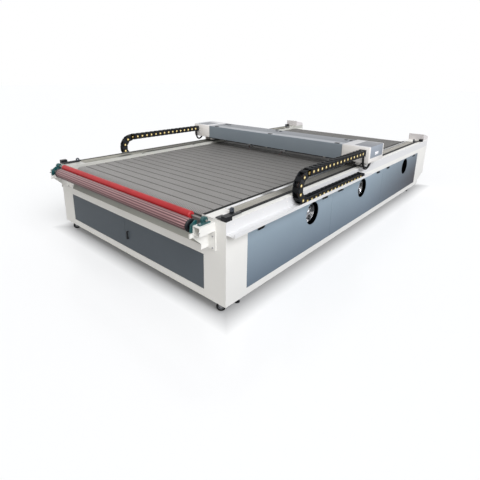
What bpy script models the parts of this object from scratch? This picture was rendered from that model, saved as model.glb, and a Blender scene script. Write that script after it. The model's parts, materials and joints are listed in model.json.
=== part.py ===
"""Large gantry laser cutting machine with a slatted conveyor table.

The model is in metres with +Z up.  The feed rollers are at -Y, the control towers at +Y, and
the gantry moves along Y over the conveyor.  Machine heights are counted from the floor.
Right means +X and left means -X.
"""

import math

import bmesh
import bpy
from mathutils import Matrix, Vector

# Whole machine
BODY_LENGTH = 5.34
SIDE_WALL_WIDTH = 0.285
BODY_HEIGHT = 0.80
FLOOR_GAP = 0.11
CLEARANCE = 0.0003
OVERRUN = 0.02

# Welded frame
TABLE_HALF_WIDTH = 1.196
TABLE_SIDE_GAP = 0.019
TABLE_DROP = 0.025
FRONT_BEAM_DROP = 0.293
END_WALL_THICKNESS = 0.06
INNER_WALL_THICKNESS = 0.020
SHEET_THICKNESS = 0.004
WELD_OVERLAP = 0.005
CROSS_MEMBER_Y = 0.89
CROSS_MEMBER_WIDTH = 0.08
CROSS_MEMBER_HEIGHT = 0.06
DECK_THICKNESS = 0.05
DECK_END_INSET = 0.240

# Side panels
PANEL_LOW = 0.069
PANEL_DROP = 0.175
PANEL_FRONT_INSET = 0.282
PANEL_REAR_INSET = 0.232
PANEL_SEAM_SHARES = (-0.3034, 0.2903)
PANEL_JOINT = 0.002
BAY_LEDGE = 0.030
BAY_TOP_LEDGE = 0.004
PORTHOLE_RADIUS = 0.130
PORTHOLE_DROP = 0.136
PORTHOLE_SHARES = (-0.4727, 0.0206, 0.6637)
SLOT_LENGTH = 0.075
SLOT_HEIGHT = 0.018
SLOT_DROP = 0.025
SLOT_SHARES = ((-0.8206, -0.3588), (-0.2079, 0.2352), (0.3813, 0.8191))

# Exhaust fans behind the portholes
FAN_RADIUS = 0.110
FAN_FLANGE_RADIUS = 0.118
FAN_WALL = 0.010
FAN_LENGTH = 0.215
FAN_HUB_RADIUS = 0.045
FAN_HUB_SETBACK = 0.012
FAN_COUNT = 2

# Front doors
DOOR_LOW = 0.075
DOOR_DROP = 0.079
DOOR_OVERLAP = 0.017
DOOR_SEAM_X = -0.030
DOOR_THICKNESS = 0.018
DOOR_REBATE = 0.040
DOOR_JOINT = 0.003
HANDLE_X = 0.033
HANDLE_LOW = 0.196
HANDLE_LENGTH = 0.090
HANDLE_WIDTH = 0.018
HANDLE_DEPTH = 0.022

# Control towers at the rear
TOWER_OFFSET = 0.027
TOWER_DEPTH = 0.274
TOWER_RISE = 0.129
TOWER_FOOT = 0.070
TOWER_CHAMFER_Y = 0.050
TOWER_CHAMFER_LOW = 0.088
TOWER_CHAMFER_HIGH = 0.168

# Slatted conveyor
BELT_END_GAP = 0.065
BELT_LOOP_HEIGHT = 0.12
BELT_THICKNESS = 0.006
SLAT_COUNT = 78
SLAT_GROOVE_WIDTH = 0.005
SLAT_GROOVE_DEPTH = 0.003
BEND_STEP_ANGLE = math.radians(18.0)
BELT_RUNNING_GAP = 0.0006
ROLLER_SETBACK = 0.006
CONVEYOR_SHAFT_RADIUS = 0.015
CONVEYOR_BORE_GAP = 0.0008
CONVEYOR_SHAFT_REACH = 0.035
CONVEYOR_BORE_SPARE = 0.003

# Apron under the front end of the conveyor
APRON_TOP_GAP = 0.010
APRON_FOOT_SETBACK = 0.003
APRON_HEAD_SETBACK = 0.050

# Travel rails, channels and belts on both side walls
RAIL_OFFSET = 0.073
RAIL_WIDTH = 0.034
RAIL_HEIGHT = 0.025
RAIL_WAIST = 0.020
RAIL_HEAD_SHARE = 0.45
RAIL_END_INSET = 0.235
CHANNEL_OFFSET = 0.095
CHANNEL_WIDTH = 0.090
CHANNEL_HEIGHT = 0.009
CHANNEL_FLOOR = 0.004
CHANNEL_RIB = 0.006
CHANNEL_RIBS = 4
TRAVEL_BELT_OFFSET = 0.212
TRAVEL_BELT_WIDTH = 0.030
TRAVEL_BELT_HEIGHT = 0.010
TRAVEL_BELT_END_INSET = 0.223

# Belt anchors at the four wall ends
ANCHOR_BLOCK_OFFSET = 0.257
ANCHOR_BLOCK_WIDTH = 0.056
ANCHOR_BLOCK_LENGTH = 0.075
ANCHOR_BLOCK_HEIGHT = 0.042
ANCHOR_LINK_OFFSET = 0.200
ANCHOR_LINK_WIDTH = 0.065
ANCHOR_LINK_LENGTH = 0.150
ANCHOR_LINK_SETBACK = 0.058
ANCHOR_LINK_HEIGHT = 0.010
ANCHOR_EYE_SIDE_OFFSET = 0.176
ANCHOR_EYE_THICKNESS = 0.018
ANCHOR_EYE_OFFSET = 0.190
ANCHOR_EYE_RADIUS = 0.021
ANCHOR_EYE_LEVEL = 0.035
ANCHOR_EYE_HOLE = 0.009

# Chain trays outboard of both walls
TRAY_DROP = 0.127
TRAY_REACH = 0.097
TRAY_LIP_HEIGHT = 0.047
TRAY_SHEET = 0.004
TRAY_REAR_Y = 0.090
TRAY_END_RADIUS = 0.035
TRAY_WALL_LIP = 0.020

# Drag chains
CHAIN_LIP_GAP = 0.016
CHAIN_WIDTH = 0.077
CHAIN_PLATE = 0.010
CHAIN_HEIGHT = 0.076
CHAIN_LINKS = 16
CHAIN_RUN_LENGTH = 1.382
CHAIN_BEND_RADIUS = 0.149
CHAIN_BEND_LINKS = 5
CHAIN_TRAY_GAP = 0.005
CHAIN_BAR_LENGTH_SHARE = 0.52
CHAIN_BAR_THICKNESS = 0.007
CHAIN_BAR_PROUD = 0.003
CHAIN_NOTCH_DEPTH = 0.007
CHAIN_NOTCH_LENGTH_SHARE = 0.16
CHAIN_LOWER_EXTRA = 0.050

# Feed unit at the front end
ARM_OFFSET = 0.081
ARM_WIDTH = 0.080
ARM_HEIGHT = 0.080
ARM_DROP = 0.030
ARM_REACH = 0.180
ARM_WALL = 0.006
ARM_POCKET = 0.120
POST_PLATE_OFFSET = 0.047
POST_PLATE_WIDTH = 0.128
POST_PLATE_HEIGHT = 0.175
POST_PLATE_THICKNESS = 0.012
GUSSET_THICKNESS = 0.008
GUSSET_FOOT_REACH = 0.094
GUSSET_FOOT_DROP = 0.160
GUSSET_FOOT_HEIGHT = 0.050
GUSSET_TOP_DROP = 0.030
SIDE_PLATE_THICKNESS = 0.010
SIDE_PLATE_FRONT = 0.215
SIDE_PLATE_REAR = 0.030
SIDE_PLATE_DROP = 0.025
SIDE_PLATE_LAP = 0.014
PRESS_ROLLER_REACH = 0.089
PRESS_ROLLER_RISE = 0.037
PRESS_ROLLER_RADIUS = 0.036
PRESS_ROLLER_END_GAP = 0.111
FEED_ROLLER_REACH = 0.170
FEED_ROLLER_DROP = 0.010
FEED_ROLLER_RADIUS = 0.0555
FEED_ROLLER_END_GAP = 0.052
FEED_DISC_RADIUS = 0.0580
FEED_DISC_THICKNESS = 0.016
FEED_NECK_RADIUS = 0.040
FEED_NECK_LENGTH = 0.006
ROLLER_SHAFT_RADIUS = 0.010
PRESS_SHAFT_REACH = 0.187
SHAFT_BORE_GAP = 0.0006
PILLOW_HALF_WIDTH = 0.062
PILLOW_BASE = 0.012
PILLOW_SHOULDER_SHARE = 0.62
PILLOW_HEAD_RADIUS = 0.031
PILLOW_THICKNESS = 0.030
PILLOW_COLLAR_RADIUS = 0.018
PILLOW_COLLAR_LENGTH = 0.048
PILLOW_FOOT_RISE = 0.004
FLANGE_HALF_LENGTH = 0.057
FLANGE_HALF_WIDTH = 0.031
FLANGE_TIP_HALF_WIDTH = 0.011
FLANGE_THICKNESS = 0.010
FLANGE_BOSS_RADIUS = 0.024
FLANGE_BOSS_LENGTH = 0.024
FLANGE_TILT = math.radians(57.0)

# Gantry
GANTRY_FRONT_Y = -0.148
GANTRY_DEPTH = 0.475
GANTRY_LIFT = 0.079
GANTRY_HEIGHT = 0.212
BEAM_DEPTH = 0.466
BEAM_EDGE_RADIUS = 0.030
BEAM_REAR_CHAMFER = 0.014
BEAM_RAIL_Y = -0.085
BEAM_RAIL_DEPTH = 0.050
BEAM_RAIL_HEIGHT = 0.012
HOUSING_OFFSET = 0.031
HOUSING_WIDTH = 0.381
HOUSING_EDGE = 0.012
HOUSING_WALL_GAP = 0.002
RUNNER_WIDTH = 0.060
RUNNER_LENGTH = 0.260
RUNNER_SETBACK = 0.090
RUNNER_SKIRT = 0.006
CLAMP_WIDTH = 0.026
CLAMP_LENGTH = 0.120
CABLE_RADIUS = 0.010
CABLE_INSET = 0.021
CABLE_FRONT_GAP = 0.024
CABLE_SAG_LIFT = 0.033
CABLE_LOOP_DEPTH = 0.241
CABLE_POINTS = 22
CABLE_CHAIN_GAP = 0.0009
CABLE_HOUSING_GAP = 0.0017

# Laser heads under the gantry
HEAD_SHARES = (-0.3094, 0.2341)
HEAD_WIDTH = 0.090
HEAD_DEPTH = 0.090
HEAD_BODY_HEIGHT = 0.024
NOZZLE_RADIUS = 0.016
NOZZLE_TIP_RADIUS = 0.006
NOZZLE_BELT_GAP = 0.025
NOZZLE_CONE_SHARE = 0.45

# Casters and levelling feet
CASTER_SIDE_INSET = 0.130
CASTER_END_INSET = 0.050
CASTER_HEADINGS = tuple(math.radians(angle) for angle in (-49.0, -30.0, 160.0, -140.0))
WHEEL_RADIUS = 0.045
WHEEL_WIDTH = 0.028
WHEEL_LIFT = 0.0015
WHEEL_CROWN = 0.004
HUB_RADIUS = 0.026
HUB_RECESS = 0.004
AXLE_RADIUS = 0.005
AXLE_GAP = 0.0006
FORK_TRAIL = 0.022
FORK_CHEEK = 0.003
FORK_SIDE_GAP = 0.0025
FORK_HALF_WIDTH = 0.016
FORK_CROWN = 0.005
FORK_PLATE_RADIUS = 0.030
FORK_PLATE_THICKNESS = 0.005
FORK_NECK_RADIUS = 0.019
FOOT_SIDE_INSET = 0.100
FOOT_END_INSET = 0.264
FOOT_PAD_RADIUS = 0.030
FOOT_PAD_HEIGHT = 0.006
FOOT_CONE_HEIGHT = 0.014
FOOT_STEM_RADIUS = 0.008

# Segments of turned pieces
FINE_SEGMENTS = 28
ROUND_SEGMENTS = 20
SMALL_SEGMENTS = 16
EDGE_SEGMENTS = 4
SMOOTH_ANGLE = math.radians(35.0)
FLAT_ANGLE = math.radians(0.1)

# Positions that follow from the sizes above
WELL_HALF_WIDTH = TABLE_HALF_WIDTH + TABLE_SIDE_GAP
HALF_WIDTH = WELL_HALF_WIDTH + SIDE_WALL_WIDTH
HALF_LENGTH = BODY_LENGTH / 2
RAIL_X = WELL_HALF_WIDTH + RAIL_OFFSET
CHANNEL_INNER_X = WELL_HALF_WIDTH + CHANNEL_OFFSET
CHANNEL_OUTER_X = CHANNEL_INNER_X + CHANNEL_WIDTH
BELT_X = WELL_HALF_WIDTH + TRAVEL_BELT_OFFSET
ANCHOR_BLOCK_X = WELL_HALF_WIDTH + ANCHOR_BLOCK_OFFSET
ANCHOR_LINK_X = WELL_HALF_WIDTH + ANCHOR_LINK_OFFSET
ANCHOR_EYE_X = WELL_HALF_WIDTH + ANCHOR_EYE_SIDE_OFFSET
TRAY_LIP_X = HALF_WIDTH + TRAY_REACH
CHAIN_OUTER_X = TRAY_LIP_X - CHAIN_LIP_GAP
ARM_INNER_X = WELL_HALF_WIDTH + ARM_OFFSET
POST_PLATE_INNER_X = WELL_HALF_WIDTH + POST_PLATE_OFFSET
POST_PLATE_OUTER_X = POST_PLATE_INNER_X + POST_PLATE_WIDTH
TOWER_INNER_X = WELL_HALF_WIDTH + TOWER_OFFSET
HOUSING_INNER_X = WELL_HALF_WIDTH + HOUSING_OFFSET
CABLE_X = CHAIN_OUTER_X - CABLE_INSET
CASTER_X = HALF_WIDTH - CASTER_SIDE_INSET
CASTER_Y = HALF_LENGTH - CASTER_END_INSET
FOOT_X = HALF_WIDTH - FOOT_SIDE_INSET
FOOT_Y = HALF_LENGTH - FOOT_END_INSET
DOOR_HALF_WIDTH = WELL_HALF_WIDTH + DOOR_OVERLAP
PRESS_ROLLER_HALF_LENGTH = ARM_INNER_X - PRESS_ROLLER_END_GAP
FEED_ROLLER_HALF_LENGTH = ARM_INNER_X - FEED_ROLLER_END_GAP
RAIL_HALF_LENGTH = HALF_LENGTH - RAIL_END_INSET
TRAVEL_BELT_HALF_LENGTH = HALF_LENGTH - TRAVEL_BELT_END_INSET
DECK_HALF_LENGTH = HALF_LENGTH - DECK_END_INSET
PANEL_FRONT = -HALF_LENGTH + PANEL_FRONT_INSET
PANEL_REAR = HALF_LENGTH - PANEL_REAR_INSET
PRESS_ROLLER_Y = -HALF_LENGTH - PRESS_ROLLER_REACH
FEED_ROLLER_Y = -HALF_LENGTH - FEED_ROLLER_REACH
ARM_HIGH = BODY_HEIGHT - ARM_DROP
ARM_LOW = ARM_HIGH - ARM_HEIGHT
SIDE_PLATE_HIGH = ARM_LOW + SIDE_PLATE_LAP
SIDE_PLATE_LOW = ARM_LOW - SIDE_PLATE_DROP
PRESS_ROLLER_HEIGHT = ARM_HIGH + PRESS_ROLLER_RISE
FEED_ROLLER_HEIGHT = ARM_HIGH - FEED_ROLLER_DROP
POST_PLATE_LOW = ARM_LOW - POST_PLATE_HEIGHT
GUSSET_FOOT_LOW = ARM_LOW - GUSSET_FOOT_DROP
GUSSET_FOOT_HIGH = GUSSET_FOOT_LOW + GUSSET_FOOT_HEIGHT
GUSSET_HIGH = ARM_LOW - GUSSET_TOP_DROP
TRAY_LEVEL = BODY_HEIGHT - TRAY_DROP
TRAY_LIP_TOP = TRAY_LEVEL + TRAY_LIP_HEIGHT
GANTRY_BOTTOM = BODY_HEIGHT + GANTRY_LIFT
GANTRY_TOP = GANTRY_BOTTOM + GANTRY_HEIGHT
NOZZLE_TIP_LEVEL = BODY_HEIGHT - TABLE_DROP + NOZZLE_BELT_GAP
CABLE_SAG_LEVEL = BODY_HEIGHT + CABLE_SAG_LIFT
TOWER_HEIGHT = BODY_HEIGHT + TOWER_RISE
FRONT_BEAM_HEIGHT = BODY_HEIGHT - FRONT_BEAM_DROP
PANEL_HIGH = BODY_HEIGHT - PANEL_DROP
PORTHOLE_HEIGHT = PANEL_HIGH - PORTHOLE_DROP
SLOT_LEVEL = PANEL_HIGH - SLOT_DROP
DOOR_HIGH = FRONT_BEAM_HEIGHT - DOOR_DROP
CHAIN_BEND_Y = GANTRY_FRONT_Y - CHAIN_RUN_LENGTH
PORTHOLE_POSITIONS = tuple(share * HALF_LENGTH for share in PORTHOLE_SHARES)
HEAD_POSITIONS = tuple(share * TABLE_HALF_WIDTH for share in HEAD_SHARES)
CHAIN_LOWER_Z = FLOOR_GAP + TRAY_LEVEL + CHAIN_TRAY_GAP + CHAIN_HEIGHT / 2
CHAIN_CENTRE_Z = CHAIN_LOWER_Z + CHAIN_BEND_RADIUS
CHAIN_UPPER_Z = CHAIN_CENTRE_Z + CHAIN_BEND_RADIUS
WALL_TOP = FLOOR_GAP + BODY_HEIGHT
BELT_TOP = WALL_TOP - TABLE_DROP
BEAM_TOP_Z = FLOOR_GAP + FRONT_BEAM_HEIGHT
END_WALL_Y = HALF_LENGTH - END_WALL_THICKNESS
BELT_HALF_LENGTH = HALF_LENGTH - BELT_END_GAP
BELT_BEND_RADIUS = BELT_LOOP_HEIGHT / 2
CONVEYOR_AXIS_Y = BELT_HALF_LENGTH - BELT_BEND_RADIUS
CONVEYOR_AXIS_Z = BELT_TOP - BELT_BEND_RADIUS
BAY_DEPTH_X = WELL_HALF_WIDTH + INNER_WALL_THICKNESS
PANEL_SEAT_X = HALF_WIDTH - SHEET_THICKNESS - CLEARANCE
FRONT_REACH = -(FEED_ROLLER_Y - FEED_DISC_RADIUS)
REAR_REACH = HALF_LENGTH + TOWER_DEPTH
CENTRE_Y = (REAR_REACH - FRONT_REACH) / 2
GANTRY_REAR_Y = GANTRY_FRONT_Y + GANTRY_DEPTH
CHAIN_PITCH = CHAIN_RUN_LENGTH / CHAIN_LINKS
GANTRY_LOW_Z = FLOOR_GAP + GANTRY_BOTTOM
GANTRY_HIGH_Z = FLOOR_GAP + GANTRY_TOP

SIDES = {"right": 1, "left": -1}

FINISHES = {
    "cream_paint": ((0.84, 0.83, 0.80), 0.42, 0.0),
    "slate_paint": ((0.085, 0.105, 0.130), 0.45, 0.0),
    "blue_grey_paint": ((0.24, 0.31, 0.39), 0.38, 0.0),
    "gantry_grey": ((0.19, 0.23, 0.265), 0.40, 0.1),
    "housing_cream": ((0.72, 0.69, 0.65), 0.42, 0.0),
    "olive_sheet": ((0.16, 0.165, 0.140), 0.50, 0.2),
    "belt_steel": ((0.27, 0.265, 0.250), 0.50, 0.5),
    "bright_steel": ((0.78, 0.78, 0.80), 0.20, 1.0),
    "channel_metal": ((0.42, 0.41, 0.34), 0.45, 0.5),
    "black_rubber": ((0.018, 0.018, 0.020), 0.65, 0.0),
    "black_plastic": ((0.016, 0.019, 0.023), 0.40, 0.0),
    "chain_plastic": ((0.020, 0.023, 0.028), 0.42, 0.0),
    "red_rubber": ((0.47, 0.035, 0.040), 0.45, 0.0),
    "striped_rubber": ((0.30, 0.17, 0.18), 0.50, 0.0),
    "teal_iron": ((0.013, 0.070, 0.073), 0.35, 0.2),
    "fan_cream": ((0.72, 0.70, 0.62), 0.45, 0.1),
    "zinc": ((0.55, 0.56, 0.58), 0.35, 0.9),
    "cable_black": ((0.012, 0.012, 0.013), 0.50, 0.0),
}


def clear_scene():
    """Remove whatever objects the scene starts with."""
    for item in list(bpy.data.objects):
        bpy.data.objects.remove(item, do_unlink=True)


def make_materials():
    """One Principled material for each named finish."""
    materials = {}
    for name, (colour, roughness, metallic) in FINISHES.items():
        material = bpy.data.materials.new(name)
        material.use_nodes = True
        shader = material.node_tree.nodes["Principled BSDF"]
        shader.inputs["Base Color"].default_value = (*colour, 1.0)
        shader.inputs["Roughness"].default_value = roughness
        shader.inputs["Metallic"].default_value = metallic
        material.diffuse_color = (*colour, 1.0)
        materials[name] = material
    return materials


def floor_up(height):
    """Height above the floor of a height above the frame's underside."""
    return FLOOR_GAP + height


def work_object(bm):
    """A loose working body from a bmesh, with its faces turned out."""
    bmesh.ops.recalc_face_normals(bm, faces=bm.faces)
    mesh = bpy.data.meshes.new("work")
    bm.to_mesh(mesh)
    bm.free()
    body = bpy.data.objects.new("work", mesh)
    bpy.context.scene.collection.objects.link(body)
    return body


def block(low, high):
    """A box between two opposite corners, given in any order."""
    bm = bmesh.new()
    bmesh.ops.create_cube(bm, size=1.0)
    size = [abs(b - a) for a, b in zip(low, high)]
    middle = [(a + b) / 2 for a, b in zip(low, high)]
    bmesh.ops.transform(bm, matrix=Matrix.Translation(middle) @ Matrix.Diagonal((*size, 1)), verts=bm.verts)
    return work_object(bm)


def spread(axis, along, pair):
    """Three coordinates from a position along an axis and the two across it."""
    if axis == "X":
        return (along, pair[0], pair[1])
    if axis == "Y":
        return (pair[0], along, pair[1])
    return (pair[0], pair[1], along)


def prism(outline, axis, start, stop):
    """An outline of two coordinates extruded along an axis."""
    bm = bmesh.new()
    ring = [bm.verts.new(spread(axis, start, pair)) for pair in outline]
    face = bm.faces.new(ring)
    grown = bmesh.ops.extrude_face_region(bm, geom=[face])
    moved = [item for item in grown["geom"] if isinstance(item, bmesh.types.BMVert)]
    bmesh.ops.translate(bm, verts=moved, vec=spread(axis, stop - start, (0, 0)))
    return work_object(bm)


def turned(profile, centre, axis, segments):
    """A profile of (radius, position along the axis) spun about an axis through centre."""
    bm = bmesh.new()
    ring = [bm.verts.new(spread(axis, along, (radius, 0))) for radius, along in profile]
    count = len(ring)
    edges = [bm.edges.new((ring[i], ring[(i + 1) % count])) for i in range(count)]
    direction = Vector(spread(axis, 1, (0, 0)))
    bmesh.ops.spin(
        bm, geom=ring + edges, cent=(0, 0, 0), axis=direction, angle=math.tau, steps=segments, use_duplicate=False
    )
    bmesh.ops.remove_doubles(bm, verts=bm.verts, dist=CLEARANCE / 10)
    drop_inner_faces(bm, axis)
    bmesh.ops.translate(bm, verts=bm.verts, vec=Vector(spread(axis, 0, centre)))
    return work_object(bm)


def drop_inner_faces(bm, axis):
    """Take away edges and faces that collapsed onto the axis of a turned solid."""
    index = "XYZ".index(axis)
    others = [i for i in range(3) if i != index]
    flat = [e for e in bm.edges if all(abs(v.co[i]) < CLEARANCE / 10 for v in e.verts for i in others)]
    bmesh.ops.delete(bm, geom=flat, context="EDGES")


def combine(target, tool, operation):
    """Boolean of the target with a working body, which is used up."""
    modifier = target.modifiers.new("combine", "BOOLEAN")
    modifier.solver = "EXACT"
    modifier.operation = operation
    modifier.object = tool
    graph = bpy.context.evaluated_depsgraph_get()
    graph.update()
    mesh = bpy.data.meshes.new_from_object(target.evaluated_get(graph))
    target.modifiers.clear()
    old = target.data
    target.data = mesh
    bpy.data.meshes.remove(old)
    spent = tool.data
    bpy.data.objects.remove(tool)
    bpy.data.meshes.remove(spent)
    return target


def cut(target, *tools):
    """The target with each tool taken away."""
    for tool in tools:
        combine(target, tool, "DIFFERENCE")
    return target


def join(target, *tools):
    """The target with each tool welded on."""
    for tool in tools:
        combine(target, tool, "UNION")
    return target


def tidy_mesh(mesh):
    """Merge what a Boolean left flat or doubled."""
    bm = bmesh.new()
    bm.from_mesh(mesh)
    bmesh.ops.dissolve_limit(bm, angle_limit=FLAT_ANGLE, verts=bm.verts, edges=bm.edges)
    bm.to_mesh(mesh)
    bm.free()


class Builder:
    """Places finished bodies under the machine's reference empty."""

    def __init__(self):
        self.materials = make_materials()
        self.root = bpy.data.objects.new("machine", None)
        self.root.location = (0, -CENTRE_Y, 0)
        bpy.context.scene.collection.objects.link(self.root)

    def place(self, body, name, finish, origin=(0, 0, 0), smooth=False):
        """Name a working body, give it its finish and move its origin to a point."""
        body.name = name
        body.data.name = name
        tidy_mesh(body.data)
        body.data.transform(Matrix.Translation(-Vector(origin)))
        body.location = origin
        body.parent = self.root
        body.data.materials.clear()
        body.data.materials.append(self.materials[finish])
        if smooth:
            body.data.shade_smooth()
            body.data.set_sharp_from_angle(angle=SMOOTH_ANGLE)
        return body

    def copy(self, source, name, location, heading=0):
        """Another object with the same mesh."""
        twin = bpy.data.objects.new(name, source.data)
        twin.location = location
        twin.rotation_euler = (0, 0, heading)
        twin.parent = self.root
        bpy.context.scene.collection.objects.link(twin)
        return twin


def arc(centre, radius, start, stop, steps):
    """Points on an arc, both ends included."""
    angles = [start + (stop - start) * i / steps for i in range(steps + 1)]
    return [(centre[0] + radius * math.cos(a), centre[1] + radius * math.sin(a)) for a in angles]


def bay_limits():
    """Front and rear end of each of the three side bays."""
    seams = [share * HALF_LENGTH for share in PANEL_SEAM_SHARES]
    ends = (PANEL_FRONT, *seams, PANEL_REAR)
    return list(zip(ends[:-1], ends[1:]))


def side_bay(side, limits):
    """The cutter of one side bay behind a panel."""
    low = (side * BAY_DEPTH_X, limits[0] + BAY_LEDGE, floor_up(PANEL_LOW) + BAY_LEDGE)
    high = (side * (HALF_WIDTH + OVERRUN), limits[1] - BAY_LEDGE, floor_up(PANEL_HIGH) - BAY_TOP_LEDGE)
    return block(low, high)


def panel_seat(side):
    """The shallow cutter that lets one row of panels in flush."""
    low = (side * PANEL_SEAT_X, PANEL_FRONT, floor_up(PANEL_LOW))
    high = (side * (HALF_WIDTH + OVERRUN), PANEL_REAR, floor_up(PANEL_HIGH))
    return block(low, high)


def tower_outline():
    """Side view of a control tower: (y, z)."""
    rear = REAR_REACH
    weld = HALF_LENGTH - WELD_OVERLAP
    shoulder = WALL_TOP - WELD_OVERLAP
    return [
        (weld, floor_up(TOWER_FOOT)),
        (HALF_LENGTH + TOWER_CHAMFER_Y, floor_up(TOWER_CHAMFER_LOW)),
        (rear, floor_up(TOWER_CHAMFER_HIGH)),
        (rear, floor_up(TOWER_HEIGHT)),
        (HALF_LENGTH, floor_up(TOWER_HEIGHT)),
        (HALF_LENGTH, shoulder),
        (weld, shoulder),
    ]


def conveyor_bore(side, end):
    """The blind bore of one conveyor shaft end."""
    reach = WELL_HALF_WIDTH + CONVEYOR_SHAFT_REACH + CONVEYOR_BORE_SPARE
    radius = CONVEYOR_SHAFT_RADIUS + CONVEYOR_BORE_GAP
    inner = WELL_HALF_WIDTH - OVERRUN
    profile = [(0, side * inner), (radius, side * inner), (radius, side * reach), (0, side * reach)]
    return turned(profile, (end * CONVEYOR_AXIS_Y, CONVEYOR_AXIS_Z), "X", SMALL_SEGMENTS)


def frame_hollows():
    """Cutters of the conveyor well, the open cabinet and the door opening."""
    over_y = HALF_LENGTH + OVERRUN
    well = block((-WELL_HALF_WIDTH, -over_y, BEAM_TOP_Z), (WELL_HALF_WIDTH, over_y, WALL_TOP + OVERRUN))
    cabinet = block(
        (-WELL_HALF_WIDTH, -END_WALL_Y, FLOOR_GAP - OVERRUN), (WELL_HALF_WIDTH, END_WALL_Y, BEAM_TOP_Z + OVERRUN)
    )
    half = DOOR_HALF_WIDTH - DOOR_REBATE
    doorway = block(
        (-half, -over_y, floor_up(DOOR_LOW) + DOOR_REBATE / 2),
        (half, -END_WALL_Y + OVERRUN, floor_up(DOOR_HIGH) - DOOR_REBATE / 2),
    )
    rebate_y = -HALF_LENGTH + DOOR_THICKNESS + CLEARANCE
    rebate = block(
        (-DOOR_HALF_WIDTH, -over_y, floor_up(DOOR_LOW)), (DOOR_HALF_WIDTH, rebate_y, floor_up(DOOR_HIGH))
    )
    return well, cabinet, doorway, rebate


def frame_additions():
    """Deck, cross members and towers welded to the frame."""
    reach = WELL_HALF_WIDTH + WELD_OVERLAP
    deck_top = BELT_TOP - BELT_THICKNESS - BELT_RUNNING_GAP
    deck = block(
        (-reach, -DECK_HALF_LENGTH, deck_top - DECK_THICKNESS), (reach, DECK_HALF_LENGTH, deck_top)
    )
    parts = [deck]
    for end in (-1, 1):
        middle = end * CROSS_MEMBER_Y
        low = (-reach, middle - CROSS_MEMBER_WIDTH / 2, FLOOR_GAP + CLEARANCE)
        high = (reach, middle + CROSS_MEMBER_WIDTH / 2, floor_up(CROSS_MEMBER_HEIGHT))
        parts.append(block(low, high))
    for side in SIDES.values():
        parts.append(prism(tower_outline(), "X", side * TOWER_INNER_X, side * HALF_WIDTH))
    return parts


def build_frame(builder):
    """The welded cabinet: two walls, two end beams, the deck and both towers."""
    frame = block((-HALF_WIDTH, -HALF_LENGTH, FLOOR_GAP), (HALF_WIDTH, HALF_LENGTH, WALL_TOP))
    cut(frame, *frame_hollows())
    for side in SIDES.values():
        cut(frame, *(side_bay(side, limits) for limits in bay_limits()), panel_seat(side))
        cut(frame, conveyor_bore(side, -1), conveyor_bore(side, 1))
    join(frame, *frame_additions())
    builder.place(frame, "base_frame", "cream_paint")


def slot_outline(middle, level):
    """A slot with round ends: (y, z)."""
    radius = SLOT_HEIGHT / 2
    half = SLOT_LENGTH / 2 - radius
    quarter = math.pi / 2
    rear = arc((middle + half, level), radius, -quarter, quarter, EDGE_SEGMENTS)
    front = arc((middle - half, level), radius, quarter, math.pi + quarter, EDGE_SEGMENTS)
    return rear + front


def build_side_panel(builder, label, index, with_port):
    """One blue-grey side panel with its finger slots and, on the right, its porthole."""
    side = SIDES[label]
    front, rear = bay_limits()[index]
    outline = [
        (front + PANEL_JOINT / 2, floor_up(PANEL_LOW) + PANEL_JOINT / 2),
        (rear - PANEL_JOINT / 2, floor_up(PANEL_LOW) + PANEL_JOINT / 2),
        (rear - PANEL_JOINT / 2, floor_up(PANEL_HIGH) - PANEL_JOINT / 2),
        (front + PANEL_JOINT / 2, floor_up(PANEL_HIGH) - PANEL_JOINT / 2),
    ]
    panel = prism(outline, "X", side * (HALF_WIDTH - SHEET_THICKNESS), side * HALF_WIDTH)
    through = (side * (HALF_WIDTH - OVERRUN), side * (HALF_WIDTH + OVERRUN))
    for share in SLOT_SHARES[index]:
        middle = share * HALF_LENGTH
        cut(panel, prism(slot_outline(middle, floor_up(SLOT_LEVEL)), "X", *through))
    if with_port:
        profile = [(0, through[0]), (PORTHOLE_RADIUS, through[0]), (PORTHOLE_RADIUS, through[1]), (0, through[1])]
        centre = (PORTHOLE_POSITIONS[index], floor_up(PORTHOLE_HEIGHT))
        cut(panel, turned(profile, centre, "X", FINE_SEGMENTS))
    builder.place(panel, f"side_panel_{label}_{index + 1}", "blue_grey_paint")


def build_fan(builder, index):
    """An exhaust fan housing with its motor hub, fixed to the inner wall."""
    back = BAY_DEPTH_X + CLEARANCE
    front = back + FAN_LENGTH
    hub_front = front - FAN_HUB_SETBACK
    inner = FAN_RADIUS - FAN_WALL
    profile = [
        (0, back),
        (FAN_RADIUS, back),
        (FAN_RADIUS, front - SHEET_THICKNESS),
        (FAN_FLANGE_RADIUS, front - SHEET_THICKNESS),
        (FAN_FLANGE_RADIUS, front),
        (inner, front),
        (inner, back + FAN_WALL),
        (FAN_HUB_RADIUS, back + FAN_WALL),
        (FAN_HUB_RADIUS, hub_front),
        (0, hub_front),
    ]
    centre = (PORTHOLE_POSITIONS[index], floor_up(PORTHOLE_HEIGHT))
    fan = turned(profile, centre, "X", ROUND_SEGMENTS)
    builder.place(fan, f"exhaust_fan_{index + 1}", "fan_cream", smooth=True)


def build_door(builder, label):
    """One front door, hinged at its outer edge; the right one carries the pull handle."""
    side = SIDES[label]
    hinge_x = side * (DOOR_HALF_WIDTH - DOOR_JOINT)
    seam_x = DOOR_SEAM_X + side * DOOR_JOINT / 2
    back = -HALF_LENGTH + DOOR_THICKNESS
    low = (seam_x, -HALF_LENGTH, floor_up(DOOR_LOW) + DOOR_JOINT)
    high = (hinge_x, back, floor_up(DOOR_HIGH) - DOOR_JOINT)
    door = block(low, high)
    if label == "right":
        join(door, door_handle())
    builder.place(door, f"front_door_{label}", "slate_paint", origin=(hinge_x, -HALF_LENGTH, floor_up(DOOR_LOW)))


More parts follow.
